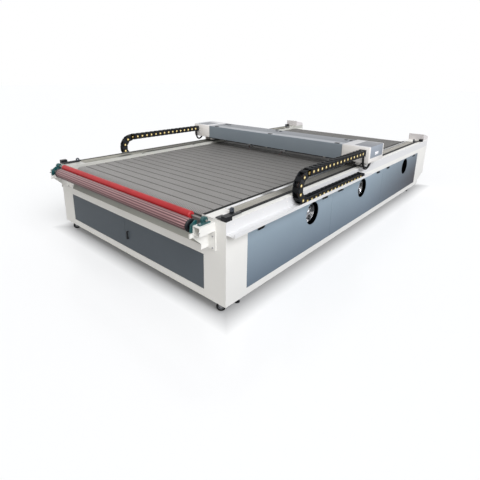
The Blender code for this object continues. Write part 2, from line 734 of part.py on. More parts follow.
def door_handle():
    """A small bow handle: (x, z) outline of its side standing off the door."""
    foot = -HALF_LENGTH + WELD_OVERLAP
    face = -HALF_LENGTH - HANDLE_DEPTH
    grip = HANDLE_DEPTH / 2
    low = floor_up(HANDLE_LOW)
    high = low + HANDLE_LENGTH
    outline = [
        (foot, low),
        (face, low),
        (face, high),
        (foot, high),
        (foot, high - grip),
        (face + grip, high - grip),
        (face + grip, low + grip),
        (foot, low + grip),
    ]
    return prism(outline, "X", HANDLE_X - HANDLE_WIDTH / 2, HANDLE_X + HANDLE_WIDTH / 2)


def loop_point(position, inset):
    """A point (y, z) of the conveyor loop at a distance along its outside, moved inwards by inset."""
    straight = 2 * CONVEYOR_AXIS_Y
    bend = math.pi * BELT_BEND_RADIUS
    radius = BELT_BEND_RADIUS - inset
    position %= 2 * (straight + bend)
    if position < straight:
        return (-CONVEYOR_AXIS_Y + position, CONVEYOR_AXIS_Z + radius)
    if position < straight + bend:
        angle = math.pi / 2 - (position - straight) / BELT_BEND_RADIUS
        return (CONVEYOR_AXIS_Y + radius * math.cos(angle), CONVEYOR_AXIS_Z + radius * math.sin(angle))
    position -= straight + bend
    if position < straight:
        return (CONVEYOR_AXIS_Y - position, CONVEYOR_AXIS_Z - radius)
    angle = -math.pi / 2 - (position - straight) / BELT_BEND_RADIUS
    return (-CONVEYOR_AXIS_Y + radius * math.cos(angle), CONVEYOR_AXIS_Z + radius * math.sin(angle))


def bend_positions():
    """Distances along the loop at which its two bends need a corner."""
    straight = 2 * CONVEYOR_AXIS_Y
    bend = math.pi * BELT_BEND_RADIUS
    steps = round(math.pi / BEND_STEP_ANGLE)
    first = [straight + bend * i / steps for i in range(steps + 1)]
    second = [2 * straight + bend + bend * i / steps for i in range(steps)]
    return first + second + [0]


def belt_outline():
    """The outside of the slatted belt: slats with a shallow groove between neighbours."""
    total = 2 * (2 * CONVEYOR_AXIS_Y + math.pi * BELT_BEND_RADIUS)
    pitch = total / SLAT_COUNT
    marks = [(position, None) for position in bend_positions()]
    for i in range(SLAT_COUNT):
        start = (i + 1 / 2) * pitch
        marks += [(start, "top"), (start, "floor"), (start + SLAT_GROOVE_WIDTH, "floor_end")]
        marks.append((start + SLAT_GROOVE_WIDTH, "top_end"))
    grooves = [(i + 1 / 2) * pitch for i in range(SLAT_COUNT)]
    kept = []
    order = {"top": 0, "floor": 1, None: 2, "floor_end": 3, "top_end": 4}
    for position, role in sorted(marks, key=lambda mark: (mark[0], order[mark[1]])):
        inside = any(0 <= position - g <= SLAT_GROOVE_WIDTH for g in grooves)
        if role is None and inside:
            continue
        inset = SLAT_GROOVE_DEPTH if role in ("floor", "floor_end") else 0
        kept.append(loop_point(position, inset))
    return kept


def build_conveyor_belt(builder):
    """The closed slatted belt around the deck and both conveyor rollers."""
    belt = prism(belt_outline(), "X", -TABLE_HALF_WIDTH, TABLE_HALF_WIDTH)
    inner = [loop_point(position, BELT_THICKNESS) for position in sorted(bend_positions())]
    over = TABLE_HALF_WIDTH + OVERRUN
    cut(belt, prism(inner, "X", -over, over))
    builder.place(belt, "conveyor_belt", "belt_steel")


def build_conveyor_roller(builder, name, end):
    """A conveyor roller with its shaft ends."""
    radius = BELT_BEND_RADIUS - BELT_THICKNESS - BELT_RUNNING_GAP
    radius = radius * math.cos(BEND_STEP_ANGLE / 2)
    face = TABLE_HALF_WIDTH - ROLLER_SETBACK
    tip = WELL_HALF_WIDTH + CONVEYOR_SHAFT_REACH
    profile = [
        (0, -tip),
        (CONVEYOR_SHAFT_RADIUS, -tip),
        (CONVEYOR_SHAFT_RADIUS, -face),
        (radius, -face),
        (radius, face),
        (CONVEYOR_SHAFT_RADIUS, face),
        (CONVEYOR_SHAFT_RADIUS, tip),
        (0, tip),
    ]
    centre = (end * CONVEYOR_AXIS_Y, CONVEYOR_AXIS_Z)
    roller = turned(profile, centre, "X", SMALL_SEGMENTS)
    builder.place(roller, name, "zinc", origin=(0, *centre), smooth=True)


def build_apron(builder):
    """The olive sheet that leans back from the front beam's edge and closes the end under the conveyor."""
    low = BEAM_TOP_Z + CLEARANCE
    top = CONVEYOR_AXIS_Z - BELT_BEND_RADIUS - APRON_TOP_GAP
    foot = APRON_FOOT_SETBACK - HALF_LENGTH
    head = APRON_HEAD_SETBACK - HALF_LENGTH
    half = WELL_HALF_WIDTH - CLEARANCE
    outline = [(foot, low), (foot + SHEET_THICKNESS, low), (head + SHEET_THICKNESS, top), (head, top)]
    sheet = prism(outline, "X", -half, half)
    builder.place(sheet, "table_apron", "olive_sheet")


def build_rail(builder, label):
    """A linear guide rail with a waist, on top of the side wall."""
    side = SIDES[label]
    low = WALL_TOP + CLEARANCE
    high = low + RAIL_HEIGHT
    neck = low + RAIL_HEIGHT * RAIL_HEAD_SHARE
    half = RAIL_WIDTH / 2
    waist = RAIL_WAIST / 2
    left = [(-half, low), (-half, neck), (-waist, neck), (-waist, neck + (high - neck) / 3), (-half, high)]
    outline = [(side * RAIL_X + x, z) for x, z in left]
    outline += [(side * RAIL_X - x, z) for x, z in reversed(left)]
    rail = prism(outline, "Y", -RAIL_HALF_LENGTH, RAIL_HALF_LENGTH)
    builder.place(rail, f"travel_rail_{label}", "bright_steel")


def build_channel(builder, label):
    """The ribbed metal channel beside the rail."""
    side = SIDES[label]
    low = WALL_TOP + CLEARANCE
    width = CHANNEL_OUTER_X - CHANNEL_INNER_X
    pitch = (width - CHANNEL_RIB) / (CHANNEL_RIBS - 1)
    top = [(0, low)]
    for i in range(CHANNEL_RIBS):
        start = i * pitch
        top += [(start, low + CHANNEL_HEIGHT), (start + CHANNEL_RIB, low + CHANNEL_HEIGHT)]
        if i < CHANNEL_RIBS - 1:
            top += [(start + CHANNEL_RIB, low + CHANNEL_FLOOR), (start + pitch, low + CHANNEL_FLOOR)]
    top.append((width, low))
    outline = [(side * (CHANNEL_INNER_X + x), z) for x, z in top]
    channel = prism(outline, "Y", -RAIL_HALF_LENGTH, RAIL_HALF_LENGTH)
    builder.place(channel, f"rail_channel_{label}", "channel_metal")


def build_travel_belt(builder, label):
    """The toothed belt that lies along the wall between its two anchors."""
    side = SIDES[label]
    low = WALL_TOP + CLEARANCE
    half = TRAVEL_BELT_WIDTH / 2
    belt = block(
        (side * BELT_X - half, -TRAVEL_BELT_HALF_LENGTH, low),
        (side * BELT_X + half, TRAVEL_BELT_HALF_LENGTH, low + TRAVEL_BELT_HEIGHT),
    )
    builder.place(belt, f"travel_belt_{label}", "black_rubber")


def eye_outline(middle):
    """The upright eye of a belt anchor: (y, z) with a round head."""
    level = WALL_TOP + ANCHOR_EYE_LEVEL
    head = arc((middle, level), ANCHOR_EYE_RADIUS, 0, math.pi, EDGE_SEGMENTS * 2)
    foot = WALL_TOP + CLEARANCE
    return [*head, (middle - ANCHOR_EYE_RADIUS, foot), (middle + ANCHOR_EYE_RADIUS, foot)]


def build_anchor(builder, label, end, name):
    """A belt anchor: corner block, link plate and upright eye, all one casting."""
    side = SIDES[label]
    low = WALL_TOP + CLEARANCE
    outer = end * HALF_LENGTH
    half = ANCHOR_BLOCK_WIDTH / 2
    inner = outer - end * ANCHOR_BLOCK_LENGTH
    body = block(
        (side * ANCHOR_BLOCK_X - half, outer, low), (side * ANCHOR_BLOCK_X + half, inner, low + ANCHOR_BLOCK_HEIGHT)
    )
    half = ANCHOR_LINK_WIDTH / 2
    start = outer - end * ANCHOR_LINK_SETBACK
    link = block(
        (side * ANCHOR_LINK_X - half, start, low),
        (side * ANCHOR_LINK_X + half, start - end * ANCHOR_LINK_LENGTH, low + ANCHOR_LINK_HEIGHT),
    )
    middle = outer - end * ANCHOR_EYE_OFFSET
    eye_low = side * ANCHOR_EYE_X - ANCHOR_EYE_THICKNESS / 2
    eye_high = side * ANCHOR_EYE_X + ANCHOR_EYE_THICKNESS / 2
    eye = prism(eye_outline(middle), "X", eye_low, eye_high)
    join(body, link, eye)
    hole = [
        (0, eye_low - OVERRUN),
        (ANCHOR_EYE_HOLE, eye_low - OVERRUN),
        (ANCHOR_EYE_HOLE, eye_high + OVERRUN),
        (0, eye_high + OVERRUN),
    ]
    cut(body, turned(hole, (middle, WALL_TOP + ANCHOR_EYE_LEVEL), "X", SMALL_SEGMENTS // 2))
    builder.place(body, f"{name}_{label}", "black_plastic")


def tray_lip_outline():
    """The tray's outer lip with its rounded rear end: (y, z)."""
    low = floor_up(TRAY_LEVEL) - TRAY_SHEET
    high = floor_up(TRAY_LIP_TOP)
    radius = TRAY_END_RADIUS
    corner = arc((TRAY_REAR_Y - radius, high - radius), radius, 0, math.pi / 2, EDGE_SEGMENTS)
    return [(-HALF_LENGTH, low), (TRAY_REAR_Y, low), *corner, (-HALF_LENGTH, high)]


def build_tray(builder, label):
    """The sheet trough that the lower chain run lies in."""
    side = SIDES[label]
    inner = HALF_WIDTH + CLEARANCE
    floor_z = floor_up(TRAY_LEVEL)
    tray = prism(tray_lip_outline(), "X", side * (TRAY_LIP_X - TRAY_SHEET), side * TRAY_LIP_X)
    sheet = block(
        (side * inner, -HALF_LENGTH, floor_z - TRAY_SHEET),
        (side * (TRAY_LIP_X - TRAY_SHEET / 2), TRAY_REAR_Y - TRAY_END_RADIUS / 2, floor_z),
    )
    join(tray, sheet)
    builder.place(tray, f"chain_tray_{label}", "cream_paint")


def chain_sides(side):
    """Inner and outer plate of a chain, as pairs of x."""
    outer = side * CHAIN_OUTER_X
    inner = side * (CHAIN_OUTER_X - CHAIN_WIDTH)
    plate = side * CHAIN_PLATE
    return ((outer, outer - plate), (inner, inner + plate))


def run_plate_outline(start, count, level, extra):
    """A straight chain run's side plate with a notch at each joint: (y, z)."""
    half = CHAIN_HEIGHT / 2
    notch = CHAIN_PITCH * CHAIN_NOTCH_LENGTH_SHARE / 2
    stop = start + count * CHAIN_PITCH + extra
    top = [(start, level + half)]
    for i in range(1, count):
        joint = start + i * CHAIN_PITCH
        top += [(joint - notch, level + half), (joint, level + half - CHAIN_NOTCH_DEPTH), (joint + notch, level + half)]
    top.append((stop, level + half))
    return top + [(stop, level - half), (start, level - half)]


def chain_bar(side, middle, level, angle, outward):
    """One cross bar between the plates, centred at (y, z) and turned about X."""
    length = CHAIN_PITCH * CHAIN_BAR_LENGTH_SHARE
    low_x = CHAIN_OUTER_X - CHAIN_WIDTH + CLEARANCE
    high_x = CHAIN_OUTER_X - CLEARANCE
    near = CHAIN_HEIGHT / 2 + CHAIN_BAR_PROUD - CHAIN_BAR_THICKNESS
    far = CHAIN_HEIGHT / 2 + CHAIN_BAR_PROUD
    corners = [(-length / 2, near), (length / 2, near), (length / 2, far), (-length / 2, far)]
    turn = Matrix.Rotation(angle, 2)
    outline = []
    for along, across in corners:
        point = turn @ Vector((along, across * outward))
        outline.append((middle + point.x, level + point.y))
    return prism(outline, "X", side * low_x, side * high_x)


def merged(bodies):
    """Bodies that do not meet, gathered in one working object."""
    bm = bmesh.new()
    for body in bodies:
        bm.from_mesh(body.data)
        spent = body.data
        bpy.data.objects.remove(body)
        bpy.data.meshes.remove(spent)
    return work_object(bm)


def build_chain_run(builder, label, name, level, extra, bars_outward):
    """A straight run of the drag chain: two notched plates and their cross bars."""
    side = SIDES[label]
    start = CHAIN_BEND_Y + CLEARANCE
    outline = run_plate_outline(start, CHAIN_LINKS, level, extra - 2 * CLEARANCE)
    plates = merged([prism(outline, "X", *pair) for pair in chain_sides(side)])
    bars = []
    for i in range(CHAIN_LINKS):
        middle = start + (i + 1 / 2) * CHAIN_PITCH
        bars.append(chain_bar(side, middle, level, 0, bars_outward))
        if i % 2 == 0:
            bars.append(chain_bar(side, middle, level, 0, -bars_outward))
    join(plates, merged(bars))
    builder.place(plates, f"{name}_{label}", "chain_plastic")


def bend_plate_outline():
    """The faceted half ring of the chain's bend: (y, z)."""
    step = math.pi / CHAIN_BEND_LINKS
    spread_radius = CHAIN_HEIGHT / 2 / math.cos(step / 2)
    quarter = math.pi / 2
    centre = (CHAIN_BEND_Y, CHAIN_CENTRE_Z)
    outer = arc(centre, CHAIN_BEND_RADIUS + spread_radius, quarter, quarter + math.pi, CHAIN_BEND_LINKS)
    inner = arc(centre, CHAIN_BEND_RADIUS - spread_radius, quarter + math.pi, quarter, CHAIN_BEND_LINKS)
    return outer + inner


def build_chain_bend(builder, label):
    """The chain's bend, which rolls along as the gantry travels."""
    side = SIDES[label]
    outline = bend_plate_outline()
    plates = merged([prism(outline, "X", *pair) for pair in chain_sides(side)])
    step = math.pi / CHAIN_BEND_LINKS
    chord = CHAIN_BEND_RADIUS * math.cos(step / 2)
    bars = []
    for i in range(CHAIN_BEND_LINKS):
        direction = math.pi / 2 + (i + 1 / 2) * step
        middle = CHAIN_BEND_Y + chord * math.cos(direction)
        level = CHAIN_CENTRE_Z + chord * math.sin(direction)
        bars.append(chain_bar(side, middle, level, direction - math.pi / 2, 1))
        bars.append(chain_bar(side, middle, level, direction - math.pi / 2, -1))
    join(plates, merged(bars))
    builder.place(plates, f"chain_bend_{label}", "chain_plastic", origin=(0, CHAIN_BEND_Y, CHAIN_CENTRE_Z))


def build_arm(builder, label):
    """A feeder arm: tube, post plate, web and bearing plate welded together."""
    side = SIDES[label]
    post = -HALF_LENGTH - CLEARANCE
    front = -HALF_LENGTH - ARM_REACH
    outer_x = ARM_INNER_X + ARM_WIDTH
    arm = block(
        (side * ARM_INNER_X, front, floor_up(ARM_LOW)), (side * outer_x, post, floor_up(ARM_HIGH))
    )
    pocket = block(
        (side * (ARM_INNER_X + ARM_WALL), front - OVERRUN, floor_up(ARM_LOW) + ARM_WALL),
        (side * (outer_x - ARM_WALL), front + ARM_POCKET, floor_up(ARM_HIGH) - ARM_WALL),
    )
    cut(arm, pocket)
    plate_front = post - POST_PLATE_THICKNESS
    plate = block(
        (side * POST_PLATE_INNER_X, plate_front, floor_up(POST_PLATE_LOW)),
        (side * POST_PLATE_OUTER_X, post, floor_up(ARM_LOW) + WELD_OVERLAP),
    )
    web_x = side * (ARM_INNER_X + CLEARANCE)
    web = prism(web_outline(post), "X", web_x, web_x + side * GUSSET_THICKNESS)
    side_plate = block(
        (side * (ARM_INNER_X - SIDE_PLATE_THICKNESS), -HALF_LENGTH - SIDE_PLATE_FRONT, floor_up(SIDE_PLATE_LOW)),
        (side * (ARM_INNER_X + ARM_WALL / 2), -HALF_LENGTH - SIDE_PLATE_REAR, floor_up(SIDE_PLATE_HIGH)),
    )
    join(arm, plate, web, side_plate)
    builder.place(arm, f"feeder_arm_{label}", "cream_paint")


def web_outline(post):
    """The web under a feeder arm: (y, z)."""
    foot = post - GUSSET_FOOT_REACH
    front = -HALF_LENGTH - ARM_REACH
    back = post - WELD_OVERLAP
    top = floor_up(ARM_LOW) + WELD_OVERLAP
    return [
        (back, floor_up(GUSSET_FOOT_LOW)),
        (foot, floor_up(GUSSET_FOOT_LOW)),
        (foot, floor_up(GUSSET_FOOT_HIGH)),
        (front, floor_up(GUSSET_HIGH)),
        (front, top),
        (back, top),
    ]


def pillow_outline(base):
    """A pillow block: (y, z) of its foot and round head."""
    centre = (PRESS_ROLLER_Y, floor_up(PRESS_ROLLER_HEIGHT))
    half = PILLOW_HALF_WIDTH
    shoulder = half * PILLOW_SHOULDER_SHARE
    rise = base + PILLOW_BASE
    head = arc(centre, PILLOW_HEAD_RADIUS, -math.pi / 6, math.pi + math.pi / 6, EDGE_SEGMENTS * 2)
    middle = PRESS_ROLLER_Y
    right = [(middle - half, base), (middle + half, base), (middle + half, rise)]
    right.append((middle + shoulder, rise + PILLOW_FOOT_RISE))
    left = [(middle - shoulder, rise + PILLOW_FOOT_RISE), (middle - half, rise)]
    return right + head + left


def build_pillow_block(builder, label):
    """The pillow block that carries one end of the press roller."""
    side = SIDES[label]
    base = floor_up(ARM_HIGH) + CLEARANCE
    middle = side * (ARM_INNER_X + ARM_WIDTH / 2)
    half = PILLOW_THICKNESS / 2
    body = prism(pillow_outline(base), "X", middle - half, middle + half)
    centre = (PRESS_ROLLER_Y, floor_up(PRESS_ROLLER_HEIGHT))
    collar = PILLOW_COLLAR_LENGTH / 2
    ring = [(0, middle - collar), (PILLOW_COLLAR_RADIUS, middle - collar)]
    ring += [(PILLOW_COLLAR_RADIUS, middle + collar), (0, middle + collar)]
    join(body, turned(ring, centre, "X", SMALL_SEGMENTS))
    cut(body, shaft_bore(middle - collar - OVERRUN, middle + collar + OVERRUN, centre))
    builder.place(body, f"pillow_block_{label}", "teal_iron")


def shaft_bore(start, stop, centre):
    """The cutter of a bearing bore for a roller shaft."""
    radius = ROLLER_SHAFT_RADIUS + SHAFT_BORE_GAP
    profile = [(0, start), (radius, start), (radius, stop), (0, stop)]
    return turned(profile, centre, "X", SMALL_SEGMENTS)


def build_flange_bearing(builder, label):
    """The oval flange bearing of one end of the feed roller."""
    side = SIDES[label]
    centre = (FEED_ROLLER_Y, floor_up(FEED_ROLLER_HEIGHT))
    back = side * (ARM_INNER_X - CLEARANCE)
    along = Vector((math.cos(FLANGE_TILT), math.sin(FLANGE_TILT)))
    across = Vector((-along.y, along.x))
    shape = (
        (FLANGE_HALF_LENGTH, FLANGE_TIP_HALF_WIDTH),
        (FLANGE_TIP_HALF_WIDTH, FLANGE_HALF_WIDTH),
        (-FLANGE_TIP_HALF_WIDTH, FLANGE_HALF_WIDTH),
        (-FLANGE_HALF_LENGTH, FLANGE_TIP_HALF_WIDTH),
    )
    points = [along * a + across * b for a, b in shape] + [along * a - across * b for a, b in reversed(shape)]
    outline = [(centre[0] + point.x, centre[1] + point.y) for point in points]
    body = prism(outline, "X", back, back - side * FLANGE_THICKNESS)
    boss_end = back - side * FLANGE_BOSS_LENGTH
    boss = [(0, back), (FLANGE_BOSS_RADIUS, back), (FLANGE_BOSS_RADIUS, boss_end), (0, boss_end)]
    join(body, turned(boss, centre, "X", SMALL_SEGMENTS))
    cut(body, shaft_bore(back + side * OVERRUN, boss_end - side * OVERRUN, centre))
    builder.place(body, f"flange_bearing_{label}", "teal_iron")


def mirrored_profile(right_half):
    """A turned profile from the right half's points, mirrored to -X."""
    return [(radius, -along) for radius, along in reversed(right_half)] + right_half


def build_feed_rollers(builder):
    """The red press roller and the striped feed roller with its black end discs."""
    reach = PRESS_ROLLER_HALF_LENGTH + PRESS_SHAFT_REACH
    half = [
        (PRESS_ROLLER_RADIUS, PRESS_ROLLER_HALF_LENGTH),
        (ROLLER_SHAFT_RADIUS, PRESS_ROLLER_HALF_LENGTH),
        (ROLLER_SHAFT_RADIUS, reach),
        (0, reach),
    ]
    centre = (PRESS_ROLLER_Y, floor_up(PRESS_ROLLER_HEIGHT))
    roller = turned(mirrored_profile(half), centre, "X", ROUND_SEGMENTS)
    builder.place(roller, "press_roller", "red_rubber", origin=(0, *centre), smooth=True)
    neck = FEED_ROLLER_HALF_LENGTH + FEED_NECK_LENGTH
    disc = neck + FEED_DISC_THICKNESS
    tip = ARM_INNER_X - 2 * CLEARANCE
    half = [
        (FEED_ROLLER_RADIUS, FEED_ROLLER_HALF_LENGTH),
        (FEED_NECK_RADIUS, FEED_ROLLER_HALF_LENGTH),
        (FEED_NECK_RADIUS, neck),
        (FEED_DISC_RADIUS, neck),
        (FEED_DISC_RADIUS, disc),
        (ROLLER_SHAFT_RADIUS, disc),
        (ROLLER_SHAFT_RADIUS, tip),
        (0, tip),
    ]
    centre = (FEED_ROLLER_Y, floor_up(FEED_ROLLER_HEIGHT))
    roller = turned(mirrored_profile(half), centre, "X", FINE_SEGMENTS)
    builder.place(roller, "feed_roller", "striped_rubber", origin=(0, *centre), smooth=True)


def beam_outline():
    """Cross-section of the gantry beam: (y, z) with its rounded front edge and under rail."""
    front = GANTRY_FRONT_Y
    rear = front + BEAM_DEPTH
    edge = BEAM_EDGE_RADIUS
    chamfer = BEAM_REAR_CHAMFER
    rail_rear = BEAM_RAIL_Y + BEAM_RAIL_DEPTH
    rail_low = GANTRY_LOW_Z - BEAM_RAIL_HEIGHT
    rounded = arc((front + edge, GANTRY_HIGH_Z - edge), edge, math.pi, math.pi / 2, EDGE_SEGMENTS)
    return [
        (front, GANTRY_LOW_Z),
        *rounded,
        (rear - chamfer, GANTRY_HIGH_Z),
        (rear, GANTRY_HIGH_Z - chamfer),
        (rear, GANTRY_LOW_Z),
        (rail_rear, GANTRY_LOW_Z),
        (rail_rear, rail_low),
        (BEAM_RAIL_Y, rail_low),
        (BEAM_RAIL_Y, GANTRY_LOW_Z),
    ]


def build_beam(builder):
    """The covered gantry beam between both housings."""
    half = HOUSING_INNER_X - CLEARANCE
    beam = prism(beam_outline(), "X", -half, half)
    builder.place(beam, "gantry_beam", "gantry_grey", origin=(0, GANTRY_FRONT_Y, GANTRY_LOW_Z))


def soften(body, width):
    """Bevel the sharp edges of a working body."""
    modifier = body.modifiers.new("soften", "BEVEL")
    modifier.width = width
    modifier.segments = 2
    modifier.limit_method = "ANGLE"
    graph = bpy.context.evaluated_depsgraph_get()
    graph.update()
    mesh = bpy.data.meshes.new_from_object(body.evaluated_get(graph))
    body.modifiers.clear()
    old = body.data
    body.data = mesh
    bpy.data.meshes.remove(old)
    return body


def build_housing(builder, label):
    """An end housing of the gantry with its runner and belt clamp below."""
    side = SIDES[label]
    outer = HOUSING_INNER_X + HOUSING_WIDTH
    body = block(
        (side * HOUSING_INNER_X, GANTRY_FRONT_Y, GANTRY_LOW_Z), (side * outer, GANTRY_REAR_Y, GANTRY_HIGH_Z)
    )
    soften(body, HOUSING_EDGE)
    half = RUNNER_WIDTH / 2
    start = GANTRY_FRONT_Y + RUNNER_SETBACK
    rail_top = WALL_TOP + CLEARANCE + RAIL_HEIGHT
    runner = block(
        (side * RAIL_X - half, start, rail_top + CLEARANCE),
        (side * RAIL_X + half, start + RUNNER_LENGTH, GANTRY_LOW_Z + WELD_OVERLAP),
    )
    half = CLAMP_WIDTH / 2
    belt_top = WALL_TOP + CLEARANCE + TRAVEL_BELT_HEIGHT
    clamp = block(
        (side * BELT_X - half, start, belt_top + CLEARANCE),
        (side * BELT_X + half, start + CLAMP_LENGTH, GANTRY_LOW_Z + WELD_OVERLAP),
    )
    join(body, runner, clamp)
    builder.place(body, f"end_housing_{label}", "housing_cream", origin=(side * RAIL_X, GANTRY_FRONT_Y, WALL_TOP))


def cable_route():
    """Control points (y, z) of the cable from the chain's end bracket under the housing."""
    front = GANTRY_FRONT_Y - CABLE_FRONT_GAP
    top = CHAIN_UPPER_Z - CHAIN_HEIGHT / 2 - CHAIN_BAR_PROUD - CABLE_CHAIN_GAP
    sag = floor_up(CABLE_SAG_LEVEL)
    under = GANTRY_LOW_Z - CABLE_HOUSING_GAP
    rear = front + CABLE_LOOP_DEPTH
    return ((front, top), (front, 2 * sag - top), (rear, 2 * sag - under), (rear, under))


def build_cable(builder, label):
    """The black cable loop between the chain's end and the housing, a cubic Bezier."""
    side = SIDES[label]
    points = cable_route()
    curve = bpy.data.curves.new(f"chain_cable_{label}", "CURVE")
    curve.dimensions = "3D"
    spline = curve.splines.new("POLY")
    spline.points.add(CABLE_POINTS - 1)
    for i, item in enumerate(spline.points):
        t = i / (CABLE_POINTS - 1)
        weights = ((1 - t) ** 3, 3 * t * (1 - t) ** 2, 3 * t * t * (1 - t), t ** 3)
        y = sum(w * point[0] for w, point in zip(weights, points))
        z = sum(w * point[1] for w, point in zip(weights, points))
        item.co = (side * CABLE_X, y, z, 1)
    curve.bevel_depth = CABLE_RADIUS
    curve.bevel_resolution = 2
    curve.use_fill_caps = True
    curve.materials.append(builder.materials["cable_black"])
    cable = bpy.data.objects.new(f"chain_cable_{label}", curve)
    cable.parent = builder.root
    bpy.context.scene.collection.objects.link(cable)


def build_head(builder, index):
    """A laser head: its carriage under the beam and the nozzle."""
    x = HEAD_POSITIONS[index]
    rail_low = GANTRY_LOW_Z - BEAM_RAIL_HEIGHT
    top = rail_low - CLEARANCE
    low = top - HEAD_BODY_HEIGHT
    middle = BEAM_RAIL_Y + BEAM_RAIL_DEPTH / 2
    body = block(
        (x - HEAD_WIDTH / 2, middle - HEAD_DEPTH / 2, low), (x + HEAD_WIDTH / 2, middle + HEAD_DEPTH / 2, top)
    )
    tip = floor_up(NOZZLE_TIP_LEVEL)
    shoulder = tip + (low - tip) * NOZZLE_CONE_SHARE
    profile = [
        (0, tip),
        (NOZZLE_TIP_RADIUS, tip),
        (NOZZLE_RADIUS, shoulder),
        (NOZZLE_RADIUS, low + WELD_OVERLAP),
        (0, low + WELD_OVERLAP),
    ]
    join(body, turned(profile, (x, middle), "Z", SMALL_SEGMENTS))
    builder.place(body, f"laser_head_{index + 1}", "zinc", origin=(x, middle, rail_low))


def fork_cheek(side):
    """One cheek of a caster fork: (y, z) plate tapering down to the axle."""
    axle = WHEEL_RADIUS + WHEEL_LIFT
    top = FLOOR_GAP - CLEARANCE - FORK_PLATE_THICKNESS - FORK_CROWN
    low_half = FORK_HALF_WIDTH / 2
    outline = [
        (-FORK_HALF_WIDTH, top),
        (FORK_TRAIL - low_half, axle - low_half),
        (FORK_TRAIL + low_half, axle - low_half),
        (FORK_TRAIL + FORK_HALF_WIDTH, axle + low_half),
        (FORK_HALF_WIDTH, top),
    ]
    inner = side * (WHEEL_WIDTH / 2 + FORK_SIDE_GAP)
    return prism(outline, "X", inner, inner + side * FORK_CHEEK)


def fork_mesh():
    """A caster fork about its swivel axis, with its axle along its own X."""
    plate_top = FLOOR_GAP - CLEARANCE
    plate_low = plate_top - FORK_PLATE_THICKNESS
    crown_low = plate_low - FORK_CROWN
    head = [
        (0, crown_low),
        (FORK_NECK_RADIUS, crown_low),
        (FORK_NECK_RADIUS, plate_low),
        (FORK_PLATE_RADIUS, plate_low),
        (FORK_PLATE_RADIUS, plate_top),
        (0, plate_top),
    ]
    fork = turned(head, (0, 0), "Z", SMALL_SEGMENTS)
    reach = WHEEL_WIDTH / 2 + FORK_SIDE_GAP + FORK_CHEEK
    crown = block((-reach, -FORK_HALF_WIDTH, crown_low - WELD_OVERLAP / 2), (reach, FORK_HALF_WIDTH, plate_low))
    pin = [(0, -reach), (AXLE_RADIUS, -reach), (AXLE_RADIUS, reach), (0, reach)]
    axle = turned(pin, (FORK_TRAIL, WHEEL_RADIUS + WHEEL_LIFT), "X", SMALL_SEGMENTS // 2)
    return join(fork, crown, fork_cheek(-1), fork_cheek(1), axle)


def wheel_mesh():
    """A caster wheel about its own axle, with a recessed hub."""
    half = WHEEL_WIDTH / 2
    hub = half - HUB_RECESS
    bore = AXLE_RADIUS + AXLE_GAP
    profile = [
        (bore, -hub),
        (HUB_RADIUS, -hub),
        (HUB_RADIUS, -half),
        (WHEEL_RADIUS - WHEEL_CROWN, -half),
        (WHEEL_RADIUS, -half + WHEEL_CROWN),
        (WHEEL_RADIUS, half - WHEEL_CROWN),
        (WHEEL_RADIUS - WHEEL_CROWN, half),
        (HUB_RADIUS, half),
        (HUB_RADIUS, hub),
        (bore, hub),
    ]
    return turned(profile, (0, 0), "X", SMALL_SEGMENTS)


def build_casters(builder):
    """Four swivel casters, one near each corner."""
    corners = [(end, side) for end in (-1, 1) for side in (1, -1)]
    names = ("front_right", "front_left", "rear_right", "rear_left")
    forks = []
    for name, (end, side), heading in zip(names, corners, CASTER_HEADINGS):
        spot = (side * CASTER_X, end * CASTER_Y, 0)
        if not forks:
            fork = builder.place(fork_mesh(), f"caster_fork_{name}", "zinc")
            fork.location = spot
            fork.rotation_euler = (0, 0, heading)
        else:
            fork = builder.copy(forks[0], f"caster_fork_{name}", spot, heading)
        forks.append(fork)
    first = builder.place(wheel_mesh(), f"caster_wheel_{names[0]}", "black_rubber", smooth=True)
    wheels = [first] + [builder.copy(first, f"caster_wheel_{name}", (0, 0, 0)) for name in names[1:]]
    for fork, wheel in zip(forks, wheels):
        wheel.parent = fork
        wheel.location = (0, FORK_TRAIL, WHEEL_RADIUS + WHEEL_LIFT)


def build_feet(builder):
    """Four levelling feet that carry the machine."""
    top = FLOOR_GAP - CLEARANCE
    profile = [
        (0, 0),
        (FOOT_PAD_RADIUS, 0),
        (FOOT_PAD_RADIUS, FOOT_PAD_HEIGHT),
        (FOOT_STEM_RADIUS, FOOT_CONE_HEIGHT),
        (FOOT_STEM_RADIUS, top),
        (0, top),
    ]
    foot = turned(profile, (0, 0), "Z", SMALL_SEGMENTS)
    builder.place(foot, "levelling_foot_front_right", "zinc")
    foot.location = (FOOT_X, -FOOT_Y, 0)
    others = (("front_left", -1, -1), ("rear_right", 1, 1), ("rear_left", -1, 1))
    for name, side, end in others:
        builder.copy(foot, f"levelling_foot_{name}", (side * FOOT_X, end * FOOT_Y, 0))


